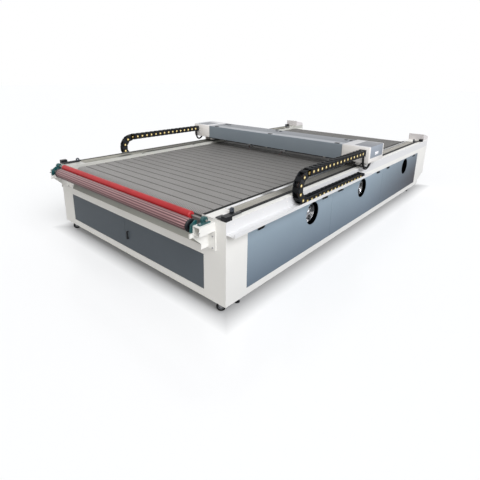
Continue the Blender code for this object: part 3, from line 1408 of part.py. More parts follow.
def build_machine():
    """Build every piece of the machine in turn."""
    clear_scene()
    builder = Builder()
    build_frame(builder)
    for index in range(len(PORTHOLE_POSITIONS)):
        build_side_panel(builder, "right", index, True)
        build_side_panel(builder, "left", index, False)
    for index in range(FAN_COUNT):
        build_fan(builder, index)
    build_conveyor_belt(builder)
    build_conveyor_roller(builder, "idler_roller", -1)
    build_conveyor_roller(builder, "drive_roller", 1)
    build_apron(builder)
    build_feed_rollers(builder)
    build_beam(builder)
    for label in SIDES:
        build_door(builder, label)
        build_rail(builder, label)
        build_channel(builder, label)
        build_travel_belt(builder, label)
        build_anchor(builder, label, -1, "belt_anchor_front")
        build_anchor(builder, label, 1, "belt_anchor_rear")
        build_tray(builder, label)
        build_chain_run(builder, label, "chain_upper", CHAIN_CENTRE_Z + CHAIN_BEND_RADIUS, 0, 1)
        build_chain_run(builder, label, "chain_lower", CHAIN_LOWER_Z, CHAIN_LOWER_EXTRA, 1)
        build_chain_bend(builder, label)
        build_arm(builder, label)
        build_pillow_block(builder, label)
        build_flange_bearing(builder, label)
        build_housing(builder, label)
        build_cable(builder, label)
    for index in range(len(HEAD_POSITIONS)):
        build_head(builder, index)
    build_casters(builder)
    build_feet(builder)


build_machine()
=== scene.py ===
"""Finishes, fine pieces, light and camera for a gantry laser cutting machine with a conveyor table.

Everything is in metres in the machine's own frame: +X is the machine's right side, -Y its feed
end and +Z up.  Places are read from the boxes of the machine's nodes, and each class holds its
small sizes as fields.
"""

import json
import logging
import math
from collections.abc import Callable
from dataclasses import dataclass, field
from enum import Enum

import bmesh
import bpy
import numpy as np
from mathutils import Matrix, Vector


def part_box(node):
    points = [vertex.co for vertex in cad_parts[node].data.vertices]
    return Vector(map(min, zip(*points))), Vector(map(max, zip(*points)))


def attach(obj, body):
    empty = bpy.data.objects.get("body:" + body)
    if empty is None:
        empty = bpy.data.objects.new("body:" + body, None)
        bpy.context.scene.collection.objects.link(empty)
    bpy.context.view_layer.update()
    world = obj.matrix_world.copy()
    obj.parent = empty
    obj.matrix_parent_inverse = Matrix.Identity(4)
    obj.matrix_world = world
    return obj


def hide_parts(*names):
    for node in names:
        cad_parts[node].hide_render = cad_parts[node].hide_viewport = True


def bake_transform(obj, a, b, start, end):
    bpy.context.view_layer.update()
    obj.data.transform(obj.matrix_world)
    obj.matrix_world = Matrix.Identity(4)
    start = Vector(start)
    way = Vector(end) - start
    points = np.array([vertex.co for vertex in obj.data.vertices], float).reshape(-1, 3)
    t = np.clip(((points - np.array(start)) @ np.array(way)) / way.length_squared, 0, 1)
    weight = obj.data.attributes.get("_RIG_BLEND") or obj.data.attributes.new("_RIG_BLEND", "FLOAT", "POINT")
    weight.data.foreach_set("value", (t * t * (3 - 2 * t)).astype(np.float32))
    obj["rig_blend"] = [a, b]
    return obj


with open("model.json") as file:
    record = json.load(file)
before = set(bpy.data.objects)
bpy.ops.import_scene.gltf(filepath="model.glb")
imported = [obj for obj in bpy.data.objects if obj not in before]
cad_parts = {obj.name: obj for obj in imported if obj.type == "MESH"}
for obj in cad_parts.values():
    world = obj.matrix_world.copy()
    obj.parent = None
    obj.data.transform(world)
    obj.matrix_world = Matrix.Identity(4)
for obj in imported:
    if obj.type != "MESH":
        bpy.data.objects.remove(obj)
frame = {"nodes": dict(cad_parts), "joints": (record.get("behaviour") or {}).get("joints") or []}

LOG = logging.getLogger("machine")
WELD = 1e-6
ROOT = "frame"
GANTRY = "gantry"
FRONT_END = -2.693  # Y of the welded frame's front face
WELL_SIDE = 1.215  # distance of a wall's inner face from the middle
BODY_SIDE = 1.500  # distance of a wall's outer face from the middle


class Side(Enum):
    """The two long sides of the machine."""

    RIGHT = 1
    LEFT = -1

    @property
    def label(self) -> str:
        """The side's word in node names."""
        return self.name.lower()


class Corner(Enum):
    """The four corners, as signs along X and Y."""

    FRONT_RIGHT = (1, -1)
    FRONT_LEFT = (-1, -1)
    REAR_RIGHT = (1, 1)
    REAR_LEFT = (-1, 1)

    @property
    def label(self) -> str:
        """The corner's words in node names."""
        return self.name.lower()


def linear(code: str) -> tuple[float, float, float, float]:
    """Linear colour of a six-digit screen colour.

    Args:
        code: Red, green and blue as two hexadecimal digits each.

    Returns:
        Red, green, blue and an alpha of one.
    """
    parts = [int(code[i : i + 2], 16) / 255 for i in (0, 2, 4)]
    values = [p / 12.92 if p <= 0.04045 else ((p + 0.055) / 1.055) ** 2.4 for p in parts]
    return (*values, 1.0)


class Wire:
    """The output of a shader node; arithmetic on it adds Math nodes."""

    def __init__(self, graph: "Graph", socket: bpy.types.NodeSocket) -> None:
        """Keeps the graph that the socket is in, and the socket."""
        self.graph = graph
        self.socket = socket

    def math(self, operation: str, *values: "Wire | float") -> "Wire":
        """A Math node of the given operation on the values."""
        return self.graph.node("ShaderNodeMath", {"operation": operation}, values)

    def __add__(self, other: "Wire | float") -> "Wire":
        """The sum."""
        return self.math("ADD", self, other)

    def __radd__(self, other: float) -> "Wire":
        """The sum, from the right."""
        return self.math("ADD", other, self)

    def __sub__(self, other: "Wire | float") -> "Wire":
        """The difference."""
        return self.math("SUBTRACT", self, other)

    def __rsub__(self, other: float) -> "Wire":
        """The difference, from the right."""
        return self.math("SUBTRACT", other, self)

    def __mul__(self, other: "Wire | float") -> "Wire":
        """The product."""
        return self.math("MULTIPLY", self, other)

    def __rmul__(self, other: float) -> "Wire":
        """The product, from the right."""
        return self.math("MULTIPLY", other, self)

    def __gt__(self, other: "Wire | float") -> "Wire":
        """One where the value is greater, else zero."""
        return self.math("GREATER_THAN", self, other)

    def __lt__(self, other: "Wire | float") -> "Wire":
        """One where the value is less, else zero."""
        return self.math("LESS_THAN", self, other)

    def __abs__(self) -> "Wire":
        """The value without its sign."""
        return self.math("ABSOLUTE", self)

    def between(self, low: float, high: float) -> "Wire":
        """One where the value lies between two bounds, else zero."""
        return (self > low) * (self < high)

    def root(self) -> "Wire":
        """The square root."""
        return self.math("SQRT", self)

    def clamped(self) -> "Wire":
        """The value held between zero and one."""
        return self.graph.node("ShaderNodeClamp", {}, {"Value": self})

    def ramp(self, low: float, high: float) -> "Wire":
        """Zero at low, one at high, straight between and held outside."""
        values = {"Value": self, "From Min": low, "From Max": high}
        return self.graph.node("ShaderNodeMapRange", {"clamp": True}, values)

    def ripple(self, period: float) -> "Wire":
        """Distance to the nearest whole number of periods."""
        return self.math("PINGPONG", self, period / 2)


class Graph:
    """The node tree of one material."""

    def __init__(self, name: str) -> None:
        """Starts a material with a Principled shader."""
        self.material = bpy.data.materials.new(name)
        self.material.use_nodes = True
        self.tree = self.material.node_tree
        self.shader = self.tree.nodes["Principled BSDF"]

    def node(
        self,
        kind: str,
        settings: dict | None = None,
        values: dict | tuple = (),
        output: int | str = 0,
    ) -> Wire:
        """Adds any node.

        Args:
            kind: The node's type.
            settings: Properties to set first.
            values: Numbers, colours or wires of its sockets, in order or by name.
            output: The output to return.

        Returns:
            The wire of that output.
        """
        item = self.tree.nodes.new(kind)
        for key, value in (settings or {}).items():
            setattr(item, key, value)
        pairs = values.items() if isinstance(values, dict) else enumerate(values)
        for key, value in pairs:
            if isinstance(value, Wire):
                self.tree.links.new(value.socket, item.inputs[key])
            else:
                item.inputs[key].default_value = value
        return Wire(self, item.outputs[output])

    def mix(
        self, factor: Wire | float, first: Wire | tuple | str, second: Wire | tuple | str
    ) -> Wire:
        """The first colour at factor zero and the second at one; text is a screen colour."""
        first, second = (linear(c) if isinstance(c, str) else c for c in (first, second))
        values = {0: factor, 6: first, 7: second}
        return self.node("ShaderNodeMix", {"data_type": "RGBA"}, values, 2)

    def place(self) -> Wire:
        """The position on the machine."""
        return self.node("ShaderNodeTexCoord", {}, (), "Object")

    def axes(self) -> tuple[Wire, Wire, Wire]:
        """The position's three coordinates."""
        split = self.node("ShaderNodeSeparateXYZ", {}, (self.place(),))
        return tuple(Wire(self, split.socket.node.outputs[i]) for i in range(3))

    def noise(self, scale: float, detail: float = 3.0, stretch: tuple = (1, 1, 1)) -> Wire:
        """Soft noise from zero to one, finer as scale grows, with each axis stretched."""
        spot = self.node("ShaderNodeVectorMath", {"operation": "MULTIPLY"}, (self.place(), stretch))
        values = {"Vector": spot, "Scale": scale, "Detail": detail}
        return self.node("ShaderNodeTexNoise", {}, values)

    def feed(self, name: str, value: Wire | float | tuple) -> None:
        """Sets or links one socket of the Principled shader."""
        if isinstance(value, Wire):
            self.tree.links.new(value.socket, self.shader.inputs[name])
        else:
            self.shader.inputs[name].default_value = value

    def bump(self, height: Wire, distance: float) -> None:
        """Feeds the shader's normal from a height of zero to one that stands for a distance."""
        values = {"Height": height, "Distance": distance, "Strength": 1.0}
        self.feed("Normal", self.node("ShaderNodeBump", {}, values))


# Masks, each with the colour that it lets in, in the order of painting.
Layers = list[tuple[Wire, str]]


@dataclass(frozen=True)
class Finish:
    """A surface finish with soft mottling, uneven gloss and a fine grain."""

    name: str
    colour: str
    shade: str
    roughness: float = 0.40
    metallic: float = 0.0
    coat: float = 0.0
    mottle_scale: float = 2.5
    grain_scale: float = 500.0
    grain_depth: float = 0.00015
    gloss_spread: float = 0.08
    specular: float = 0.5
    slot: str = ""

    def material(self) -> bpy.types.Material:
        """The finish's material, made once and shared by its pieces."""
        known = bpy.data.materials.get(self.name)
        if known:
            return known
        graph = Graph(self.name)
        graph.feed("Metallic", self.metallic)
        graph.feed("Coat Weight", self.coat)
        graph.feed("Specular IOR Level", self.specular)
        tone = self.ground(graph)
        for mask, colour in self.layers(graph):
            tone = graph.mix(mask, tone, colour)
        graph.feed("Base Color", tone)
        graph.feed("Roughness", self.gloss(graph))
        graph.bump(self.relief(graph), self.grain_depth)
        return graph.material

    def ground(self, graph: Graph) -> Wire:
        """The finish's colour, mottled softly towards its shade."""
        return graph.mix(graph.noise(self.mottle_scale).ramp(0.35, 0.75), self.colour, self.shade)

    def gloss(self, graph: Graph) -> Wire:
        """Roughness that wanders a little over the surface."""
        cloud = graph.noise(self.mottle_scale * 6)
        return cloud * self.gloss_spread + (self.roughness - self.gloss_spread / 2)

    def relief(self, graph: Graph) -> Wire:
        """Height of the fine grain, from zero to one."""
        return graph.noise(self.grain_scale, 2.0)

    def layers(self, graph: Graph) -> Layers:
        """Masks and the colours that they let in over the ground, in order."""
        return []


class FramePaint(Finish):
    """Cream powder coat, dusty near the floor, with painted shade in the bays and on the walls."""

    bay_x = (WELL_SIDE + 0.018, BODY_SIDE - 0.003)
    bay_y = (-2.40, 2.40)
    bay_z = (0.19, 0.738)
    flank_x = BODY_SIDE - 0.0025
    flank_top_z = (0.80, 0.908)
    left_wall_x = -WELL_SIDE + 0.03
    left_wall_z = 0.86
    tower_z = 0.93

    def layers(self, graph: Graph) -> Layers:
        """Painted shade on the walls and in the bays, dust, and the towers' tone."""
        x, y, z = graph.axes()
        flank = abs(x) > self.flank_x
        dust = (1 - z.ramp(0.10, 0.32)) * graph.noise(9.0).ramp(0.4, 0.8)
        # The side bays' insides, where the ports show only dark.
        bay_shade = abs(x).between(*self.bay_x) * y.between(*self.bay_y) * z.between(*self.bay_z)
        return [
            # Painted shade: the flanks darker towards the floor.
            ((1 - z.ramp(0.10, 0.80)) * flank * 0.45, "C9C9C9"),
            (dust * 0.10, "B9B4A9"),
            # Painted shade on the left wall's inside face.
            ((x < self.left_wall_x) * (z > self.left_wall_z) * 0.9, "BBBBB5"),
            (z > self.tower_z, "DAD6D6"),
            # Painted shade on the flanks' upper band, behind the chain and its tray.
            (flank * z.between(*self.flank_top_z), "DEDEDF"),
            # Painted shade filling the side bays.
            (bay_shade, "17191B"),
        ]


class PanelPaint(Finish):
    """Blue-grey satin paint with a painted reflection: darker down the panel and to the rear."""

    panel_z = (0.18, 0.73)
    rear_y = (0.2, 2.4)

    def layers(self, graph: Graph) -> Layers:
        """The painted reflection's fall down the panel and along the machine."""
        _, y, z = graph.axes()
        drop = 1 - z.ramp(*self.panel_z)
        rear = y.ramp(*self.rear_y) * (drop * 0.7 + 0.5).clamped()
        # Painted reflection: darker down the panel, and darker again towards the rear.
        return [(drop, "5F6D7B"), (rear, "33353D")]


class DoorPaint(Finish):
    """Slate paint, with the handle that stands off the door in black."""

    handle_y = FRONT_END - 0.0006

    def layers(self, graph: Graph) -> Layers:
        """The black handle."""
        _, y, _ = graph.axes()
        return [(y < self.handle_y, "101214")]


class SlatSteel(Finish):
    """Grey conveyor slats: fine ribs along the travel, painted shade at the rear, a few spots."""

    rib_pitch = 0.022

    def layers(self, graph: Graph) -> Layers:
        """Painted shade along the travel, the lines between the ribs and faint spots."""
        x, y, _ = graph.axes()
        return [
            # Painted shade: the slats darken from the front end to the gantry and stay dark behind it.
            ((y.ramp(-2.6, -0.2) * 0.85).clamped(), "5A5957"),
            ((1 - x.ripple(self.rib_pitch).ramp(0.0015, 0.0045)) * 0.55, "4E4D4B"),
            (graph.noise(26.0, 1.0).ramp(0.80, 0.84), "5E5D5B"),
        ]

    def relief(self, graph: Graph) -> Wire:
        """Height of the ribs."""
        x, _, _ = graph.axes()
        return x.ripple(self.rib_pitch).ramp(0.0, 0.006)


class StripedRubber(Finish):
    """Rubber sleeve with strips along the roller, painted highlights and painted shade below."""

    def layers(self, graph: Graph) -> Layers:
        """Painted highlights and lines by the angle about the axis, painted shade underneath."""
        low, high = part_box("feed_roller")
        middle = (low + high) / 2
        _, y, z = graph.axes()
        strip = math.tau / FeedUnit.flutes
        edge = (z.math("ARCTAN2", z - middle.z, y - middle.y) + math.pi).ripple(strip)
        line = 1 - edge.ramp(strip * 0.09, strip * 0.18)
        return [
            # Painted highlight along the middle of each strip.
            (edge.ramp(strip * 0.30, strip * 0.46) * 0.6, "C8A2A3"),
            # Dark lines between the strips, deepened towards the top as painted shade.
            (line * (0.45 + 0.40 * z.ramp(middle.z + 0.02, middle.z + 0.05)), "2E2224"),
            # Painted shade on the underside.
            ((1 - z.ramp(low.z, middle.z)) * 0.8, "2A2223"),
        ]


class RailSteel(Finish):
    """Ground steel, painted shade for screw holes, painted reflection and shade in stretches."""

    screw_pitch = 0.12
    hole_radius = 0.0052

    def layers(self, graph: Graph) -> Layers:
        """Painted shade for a hole at each pitch; painted reflection and shade in stretches."""
        low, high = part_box("travel_rail_right")
        x, y, _ = graph.axes()
        along, across = y.ripple(self.screw_pitch), abs(x) - (low.x + high.x) / 2
        # Painted shade standing for a screw hole.
        hole = (along * along + across * across).root() < self.hole_radius
        # Painted reflection and shade: dark near the front anchor and towards the chain and gantry.
        reflection_and_shade = y.ramp(-1.98, -1.90) * (1 - y.ramp(-1.78, -1.72)) + y.ramp(-1.60, -1.45)
        return [(hole * 0.4, "6A6B6D"), ((reflection_and_shade * 0.85).clamped(), "3C3C3A")]


class BrushedMetal(Finish):
    """Metal drawn along Y, with fine lines and a painted shadow."""

    drawn = (1, 0.02, 1)

    def ground(self, graph: Graph) -> Wire:
        """The colour streaked towards its shade along Y."""
        streaks = graph.noise(60.0, 4.0, self.drawn).ramp(0.3, 0.7)
        return graph.mix(streaks, self.colour, self.shade)

    def layers(self, graph: Graph) -> Layers:
        """Painted shadow of the chain and gantry, deepening towards them along Y."""
        _, y, _ = graph.axes()
        # Painted shadow of the chain and gantry.
        chain_shadow = (y.ramp(-1.95, -1.70) * 0.7 + y.ramp(-1.2, -0.4) * 0.3) * (1 - y.ramp(0.3, 0.8))
        return [(chain_shadow * 0.75, "4E4E49")]

    def relief(self, graph: Graph) -> Wire:
        """Height of the drawn lines."""
        return graph.noise(self.grain_scale, 2.0, self.drawn)


class BeltRubber(Finish):
    """Toothed rubber belt, with a tooth at each pitch along Y."""

    tooth_pitch = 0.010

    def relief(self, graph: Graph) -> Wire:
        """Height of the teeth."""
        _, y, _ = graph.axes()
        return y.ripple(self.tooth_pitch).ramp(0.001, 0.004)


class CoverPaint(Finish):
    """Grey gantry cover: shade painted on top, a painted highlight along the upper front edge."""

    top_skin = 0.009
    strip_depth = 0.135

    def layers(self, graph: Graph) -> Layers:
        """Painted shade on the top and a painted highlight in the pale strip on it."""
        low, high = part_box("gantry_beam")
        _, y, z = graph.axes()
        top = z > high.z - self.top_skin
        # Painted shade over the top and a painted highlight in a strip along its front.
        return [(top, "666B73"), (top * (y < low.y + self.strip_depth), "999DA3")]


class HousingPaint(Finish):
    """Pale powder coat, with painted shade greying the level top."""

    top_skin = 0.005

    def layers(self, graph: Graph) -> Layers:
        """Painted shade on the top."""
        _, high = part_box("end_housing_right")
        _, _, z = graph.axes()
        # Painted shade on the top.
        return [(z > high.z - self.top_skin, "CFCFD1")]


class ApronSheet(Finish):
    """Bare olive-grey sheet with painted shade: darker at the top and towards the machine's left."""

    def layers(self, graph: Graph) -> Layers:
        """Painted shade, darker upwards and to the left."""
        low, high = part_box("table_apron")
        x, _, z = graph.axes()
        shade = z.ramp(low.z, high.z) * 0.50 + (1 - x.ramp(low.x, high.x)) * 0.55
        # Painted shade from the rollers above and away from the light.
        return [(shade.clamped(), "474843")]


class AnchorPaint(Finish):
    """Black clamp block with a blue-grey steel eye on it."""

    block_top = 0.9285
    block_length = 0.12

    def layers(self, graph: Graph) -> Layers:
        """The eye's steel above the block."""
        front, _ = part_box("belt_anchor_front_right")
        _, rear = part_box("belt_anchor_rear_right")
        _, y, z = graph.axes()
        inward = abs(y - (front.y + rear.y) / 2) < (rear.y - front.y) / 2 - self.block_length
        return [((z > self.block_top) * inward, "454A52")]


class FanPaint(Finish):
    """Fan front: a textured pale disc in a white ring, painted shade in a gap, a thin grey rim."""

    axis_shift = Vector((0, -0.033, -0.030))
    mesh_pitch = 0.016
    mesh_line = 0.0022
    # Outwards: white ring, painted shade in the gap, grey rim, painted shade beyond the rim.
    bands = ((0.076, "FAFAFC"), (0.085, "101113"), (0.098, "77797D"), (0.104, "101113"))

    def layers(self, graph: Graph) -> Layers:
        """A mesh, and bands by distance from the nearer fan's axis, some painted shade."""
        _, y, z = graph.axes()
        distances = []
        for node in ("exhaust_fan_1", "exhaust_fan_2"):
            low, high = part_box(node)
            middle = (low + high) / 2 + self.axis_shift
            across, up = y - middle.y, z - middle.z
            distances.append((across * across + up * up).root())
        distance = y.math("MINIMUM", *distances)
        lines = (axis.ripple(self.mesh_pitch) < self.mesh_line for axis in (y, z))
        mesh = y.math("MAXIMUM", *lines) * 0.5
        return [(mesh, "8E9094"), *((distance > radius, colour) for radius, colour in self.bands)]


class CastTeal(Finish):
    """Enamelled casting with painted highlights in pale patches."""

    def layers(self, graph: Graph) -> Layers:
        """Painted highlights in pale patches."""
        # Painted highlights in pale patches.
        return [(graph.noise(70.0).ramp(0.60, 0.74) * 0.6, "5C9C99")]


CREAM = FramePaint("cream_powder_coat", "EDECE8", "E9E8E4", 0.42, slot="cream_paint")
PANEL = PanelPaint("blue_grey_panel_paint", "94A5B2", "90A1AE", 0.36, slot="blue_grey_paint")
SLATE = DoorPaint("slate_door_paint", "555D64", "525A61", 0.42, slot="slate_paint")
COVER = CoverPaint("gantry_cover_paint", "818B93", "7D8790", 0.38, slot="gantry_grey")
HOUSING = HousingPaint("housing_powder_coat", "EFECE9", "EBE8E5", 0.40, slot="housing_cream")
INSET = Finish("inset_plate_paint", "777A81", "73767D", 0.40, slot="gantry_grey")
# A lighter copy of the top plate's paint: painted light on the lit outer side.
INSET_SIDE = Finish("inset_side_paint", "98A0AB", "949CA7", 0.36, slot="gantry_grey")
PALE = Finish(
    "pale_label_plate", "FAFAFC", "F4F4F8", 0.35, grain_depth=0.00002, slot="housing_cream"
)
OLIVE = ApronSheet("apron_sheet", "ADAEA6", "A6A79F", 0.45, slot="olive_sheet")
SLATS = SlatSteel(
    "conveyor_slats", "989694", "92908E", 0.55, grain_depth=0.0008, specular=0.3, slot="belt_steel"
)
JOINT = Finish("slat_joint", "3E3D3C", "343332", 0.60, slot="belt_steel")
RAIL = RailSteel(
    "ground_rail_steel", "F2F2F4", "E4E5E8", 0.20, 0.8, grain_depth=0.00004, slot="bright_steel"
)
# Duller, darker copies of the rail and channel for the left side: painted shade.
SHADED_RAIL = RailSteel(
    "oiled_rail_steel", "A9A89F", "9E9D94", 0.55, grain_depth=0.00004, specular=0.15,
    slot="bright_steel",
)
CHANNEL = BrushedMetal("drawn_channel", "ABA8A0", "9C9992", 0.45, 0.2, slot="channel_metal")
SHADED_CHANNEL = BrushedMetal(
    "pale_drawn_channel", "A3A198", "98968D", 0.55, specular=0.2, slot="channel_metal"
)
TOOTHED = BeltRubber(
    "toothed_belt_rubber", "1C1D1F", "18191A", 0.60, grain_depth=0.0012, specular=0.2,
    slot="black_rubber",
)
RUBBER = Finish("black_rubber_tyre", "151617", "111213", 0.58, specular=0.2, slot="black_rubber")
BLACK = Finish(
    "black_moulding", "15181C", "111317", 0.34, grain_depth=0.0001, specular=0.35,
    slot="black_plastic",
)
ANCHOR = AnchorPaint(
    "belt_anchor_iron", "14161A", "101214", 0.40, specular=0.3, slot="black_plastic"
)
CHAIN = Finish(
    "chain_link_plastic", "1A1C20", "16181B", 0.42, specular=0.25, mottle_scale=20.0,
    slot="chain_plastic",
)
BAR = Finish("chain_bar_plastic", "131518", "101114", 0.55, specular=0.15, slot="chain_plastic")
PIN = Finish("yellow_pin", "FFF4BE", "FBEEB0", 0.35, slot="chain_plastic")
PIN_RING = Finish("gold_pin_ring", "A88422", "96751C", 0.45, slot="chain_plastic")
RED = Finish(
    "red_roller_rubber", "B02A2E", "A22529", 0.45, specular=0.3, mottle_scale=8.0, slot="red_rubber"
)
STRIPED = StripedRubber(
    "striped_roller_rubber", "8C686A", "846163", 0.34, 0.45, slot="striped_rubber"
)
TEAL = CastTeal("teal_enamel", "1F5456", "184547", 0.30, 0.1, 0.3, 30.0, slot="teal_iron")
ZINC = Finish("zinc_plate", "B9BABD", "A3A4A8", 0.30, 0.9, slot="zinc")
CHROME = Finish("bright_chrome", "E6E7EA", "DADBDF", 0.12, 1.0, grain_depth=0.00002, slot="zinc")
FAN = FanPaint("fan_front_paint", "D6D7DA", "C6C8CB", 0.35, slot="fan_cream")
SHAFT = Finish("turned_shaft", "8E8C88", "7E7C78", 0.30, 0.8, slot="zinc")
HUB = Finish("grey_wheel_hub", "5A5C60", "4C4E52", 0.40, slot="zinc")
CABLE = Finish("black_cable_sheath", "151517", "111113", 0.40, specular=0.25, slot="cable_black")
RED_CABLE = Finish("brown_cable_sheath", "3A2320", "301C1A", 0.45, slot="cable_black")
# The red pointer's beam: painted light drawn as a solid red rod.
POINTER_BEAM = Finish("red_pointer_glass", "8E4038", "7C342E", 0.40, slot="red_rubber")


class Form:
    """Points and faces of one piece, gathered from whole arrays."""

    def __init__(self) -> None:
        """Starts with nothing."""
        self.points: list[np.ndarray] = []
        self.faces: list[list[int]] = []
        self.finishes: list[int] = []
        self.total = 0

    def loft(
        self, rings: np.ndarray, capped: bool = True, wrapped: bool = False, finish: int = 0
    ) -> "Form":
        """Adds closed rings joined one to the next, for one body or several of the same shape.

        Point (i, j) is rings[..., i, j, :], and each face joins (i, j), (i, j + 1), (i + 1, j + 1)
        and (i + 1, j), with j going round.

        Args:
            rings: Array of rings by points by three, with one more leading axis for copies.
            capped: Closes the first and the last ring.
            wrapped: Joins the last ring to the first.
            finish: Index of the material among the piece's materials.

        Returns:
            The form.
        """
        rings = np.asarray(rings, float)
        if rings.ndim == 3:
            rings = rings[None]
        copies, count, around, _ = rings.shape
        grid = np.arange(count * around).reshape(count, around)
        upper = np.roll(grid, -1, axis=0) if wrapped else grid[1:]
        lower = grid if wrapped else grid[:-1]
        quads = np.stack([lower, np.roll(lower, -1, 1), np.roll(upper, -1, 1), upper], -1)
        shifts = self.total + np.arange(copies) * count * around
        faces = (quads.reshape(-1, 4) + shifts[:, None, None]).reshape(-1, 4).tolist()
        if capped and not wrapped:
            faces += (grid[0][::-1][None] + shifts[:, None]).tolist()
            faces += (grid[-1][None] + shifts[:, None]).tolist()
        self.points.append(rings.reshape(-1, 3))
        self.faces += faces
        self.finishes += [finish] * len(faces)
        self.total += copies * count * around
        return self

    def block(
        self, low: tuple, high: tuple, radius: float = 0.002, steps: int = 3, finish: int = 0
    ) -> "Form":
        """Adds a box with round edges, as block makes it."""
        return self.loft(block(low, high, radius, steps), finish=finish)

    def piece(
        self, name: str, body: str | None, *finishes: Finish, crease: float = 35.0
    ) -> bpy.types.Object:
        """Makes the object, shades it smooth up to the crease angle and lets it ride.

        Args:
            name: The piece's name.
            body: The body it rides on, or None when the caller sets it.
            finishes: Its finishes, in the order of the indices that loft was given.
            crease: Angle in degrees above which an edge stays sharp.

        Returns:
            The object.
        """
        mesh = bpy.data.meshes.new(name)
        mesh.from_pydata(np.concatenate(self.points).tolist(), [], self.faces)
        mesh.polygons.foreach_set("material_index", self.finishes)
        return settle(mesh, name, body, finishes, crease)


def placed(name: str, data: bpy.types.ID) -> bpy.types.Object:
    """A new object of the data, linked to the scene."""
    item = bpy.data.objects.new(name, data)
    bpy.context.scene.collection.objects.link(item)
    return item


def settle(
    mesh: bpy.types.Mesh, name: str, body: str | None, finishes: tuple[Finish, ...], crease: float
) -> bpy.types.Object:
    """Turns faces out, shades and dresses a mesh, and puts it on its body.

    Args:
        mesh: The finished mesh, in the machine's frame.
        name: The piece's name.
        body: The body it rides on, or None.
        finishes: The finishes, one for each material index.
        crease: Angle in degrees above which an edge stays sharp.

    Returns:
        The object.
    """
    work = bmesh.new()
    work.from_mesh(mesh)
    bmesh.ops.remove_doubles(work, verts=work.verts, dist=WELD)
    bmesh.ops.recalc_face_normals(work, faces=work.faces)
    work.to_mesh(mesh)
    work.free()
    mesh.shade_smooth()
    mesh.set_sharp_from_angle(angle=math.radians(crease))
    for finish in finishes:
        mesh.materials.append(finish.material())
    item = placed(name, mesh)
    if body:
        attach(item, body)
    LOG.info("%s: %d faces on %s", name, len(mesh.polygons), body)
    return item


# For each axis, the two directions across it and the one along it.
AXES = {
    "X": np.array([[0, 1, 0], [0, 0, 1], [1, 0, 0]]),
    "Y": np.array([[0, 0, 1], [1, 0, 0], [0, 1, 0]]),
    "Z": np.array([[1, 0, 0], [0, 1, 0], [0, 0, 1]]),
}


def arc(centre: tuple, radius: float, start: float, stop: float, steps: int) -> np.ndarray:
    """Points at equal angles from start to stop, in degrees, at a radius about a centre."""
    angle = np.radians(np.linspace(start, stop, steps + 1))
    return np.stack([centre[0] + radius * np.cos(angle), centre[1] + radius * np.sin(angle)], 1)


def revolved(profile: np.ndarray, axis: str, centre: tuple, segments: int = 32) -> np.ndarray:
    """Rings of a profile turned about an axis.

    Point (i, j) is the centre plus the profile's place along the axis plus its radius times the
    unit circle at angle j of segments.

    Args:
        profile: Rows of radius and place along the axis.
        axis: The axis, X, Y or Z.
        centre: A point on the axis that places are counted from.
        segments: Points round.

    Returns:
        Array of rings by segments by three.
    """
    profile = np.asarray(profile, float)
    turn = np.arange(segments) * math.tau / segments
    first, second, along = AXES[axis]
    circle = np.cos(turn)[:, None] * first + np.sin(turn)[:, None] * second
    return np.asarray(centre) + profile[:, :1, None] * circle + profile[:, 1:, None] * along


def prism(outline: np.ndarray, axis: str, start: float, stop: float, edge: float) -> np.ndarray:
    """Rings of an outline carried along an axis, drawn in towards its middle by edge at both ends.

    Args:
        outline: Points in the plane across the axis, in the order Y Z, Z X or X Y.
        axis: The axis, X, Y or Z.
        start: Where it starts along the axis.
        stop: Where it stops.
        edge: Size of the chamfer at both ends.

    Returns:
        Array of four rings.
    """
    outline = np.asarray(outline, float)
    middle = outline.mean(0)
    spoke = outline - middle
    length = np.linalg.norm(spoke, axis=1, keepdims=True)
    inner = middle + spoke * (1 - edge / length)
    rise = math.copysign(edge, stop - start)
    stations = ((inner, start), (outline, start + rise), (outline, stop - rise), (inner, stop))
    first, second, along = AXES[axis]
    return np.stack([o[:, :1] * first + o[:, 1:] * second + s * along for o, s in stations])


def block(low: tuple, high: tuple, radius: float = 0.002, steps: int = 3) -> np.ndarray:
    """Rings of a box with round edges.

    Each ring is a round-cornered rectangle drawn in by radius times one minus the cosine of an
    angle that goes from -90 to 90 degrees, at a height that follows the angle's sine.

    Args:
        low: Lowest corner.
        high: Highest corner.
        radius: Radius of every edge.
        steps: Steps of a quarter turn.

    Returns:
        Array of rings.
    """
    low, high = np.minimum(low, high), np.maximum(low, high)
    radius = min(radius, *((high - low) * 0.49))
    tilt, turn = (
        np.radians(np.concatenate([np.linspace(q, q + 90, steps + 1) for q in quarters]))
        for quarters in ((-90, 0), (0, 90, 180, 270))
    )
    level = np.where(np.arange(tilt.size) <= steps, low[2] + radius, high[2] - radius)
    level = level + radius * np.sin(tilt)
    corner = np.repeat([[1, 1], [-1, 1], [-1, -1], [1, -1]], steps + 1, axis=0)
    middle, half = (low + high)[:2] / 2, (high - low)[:2] / 2 - radius
    spread = radius * np.cos(tilt)[:, None, None] * np.stack([np.cos(turn), np.sin(turn)], 1)
    flat = middle + corner * half + spread
    height = np.broadcast_to(level[:, None, None], (*flat.shape[:2], 1))
    return np.concatenate([flat, height], -1)


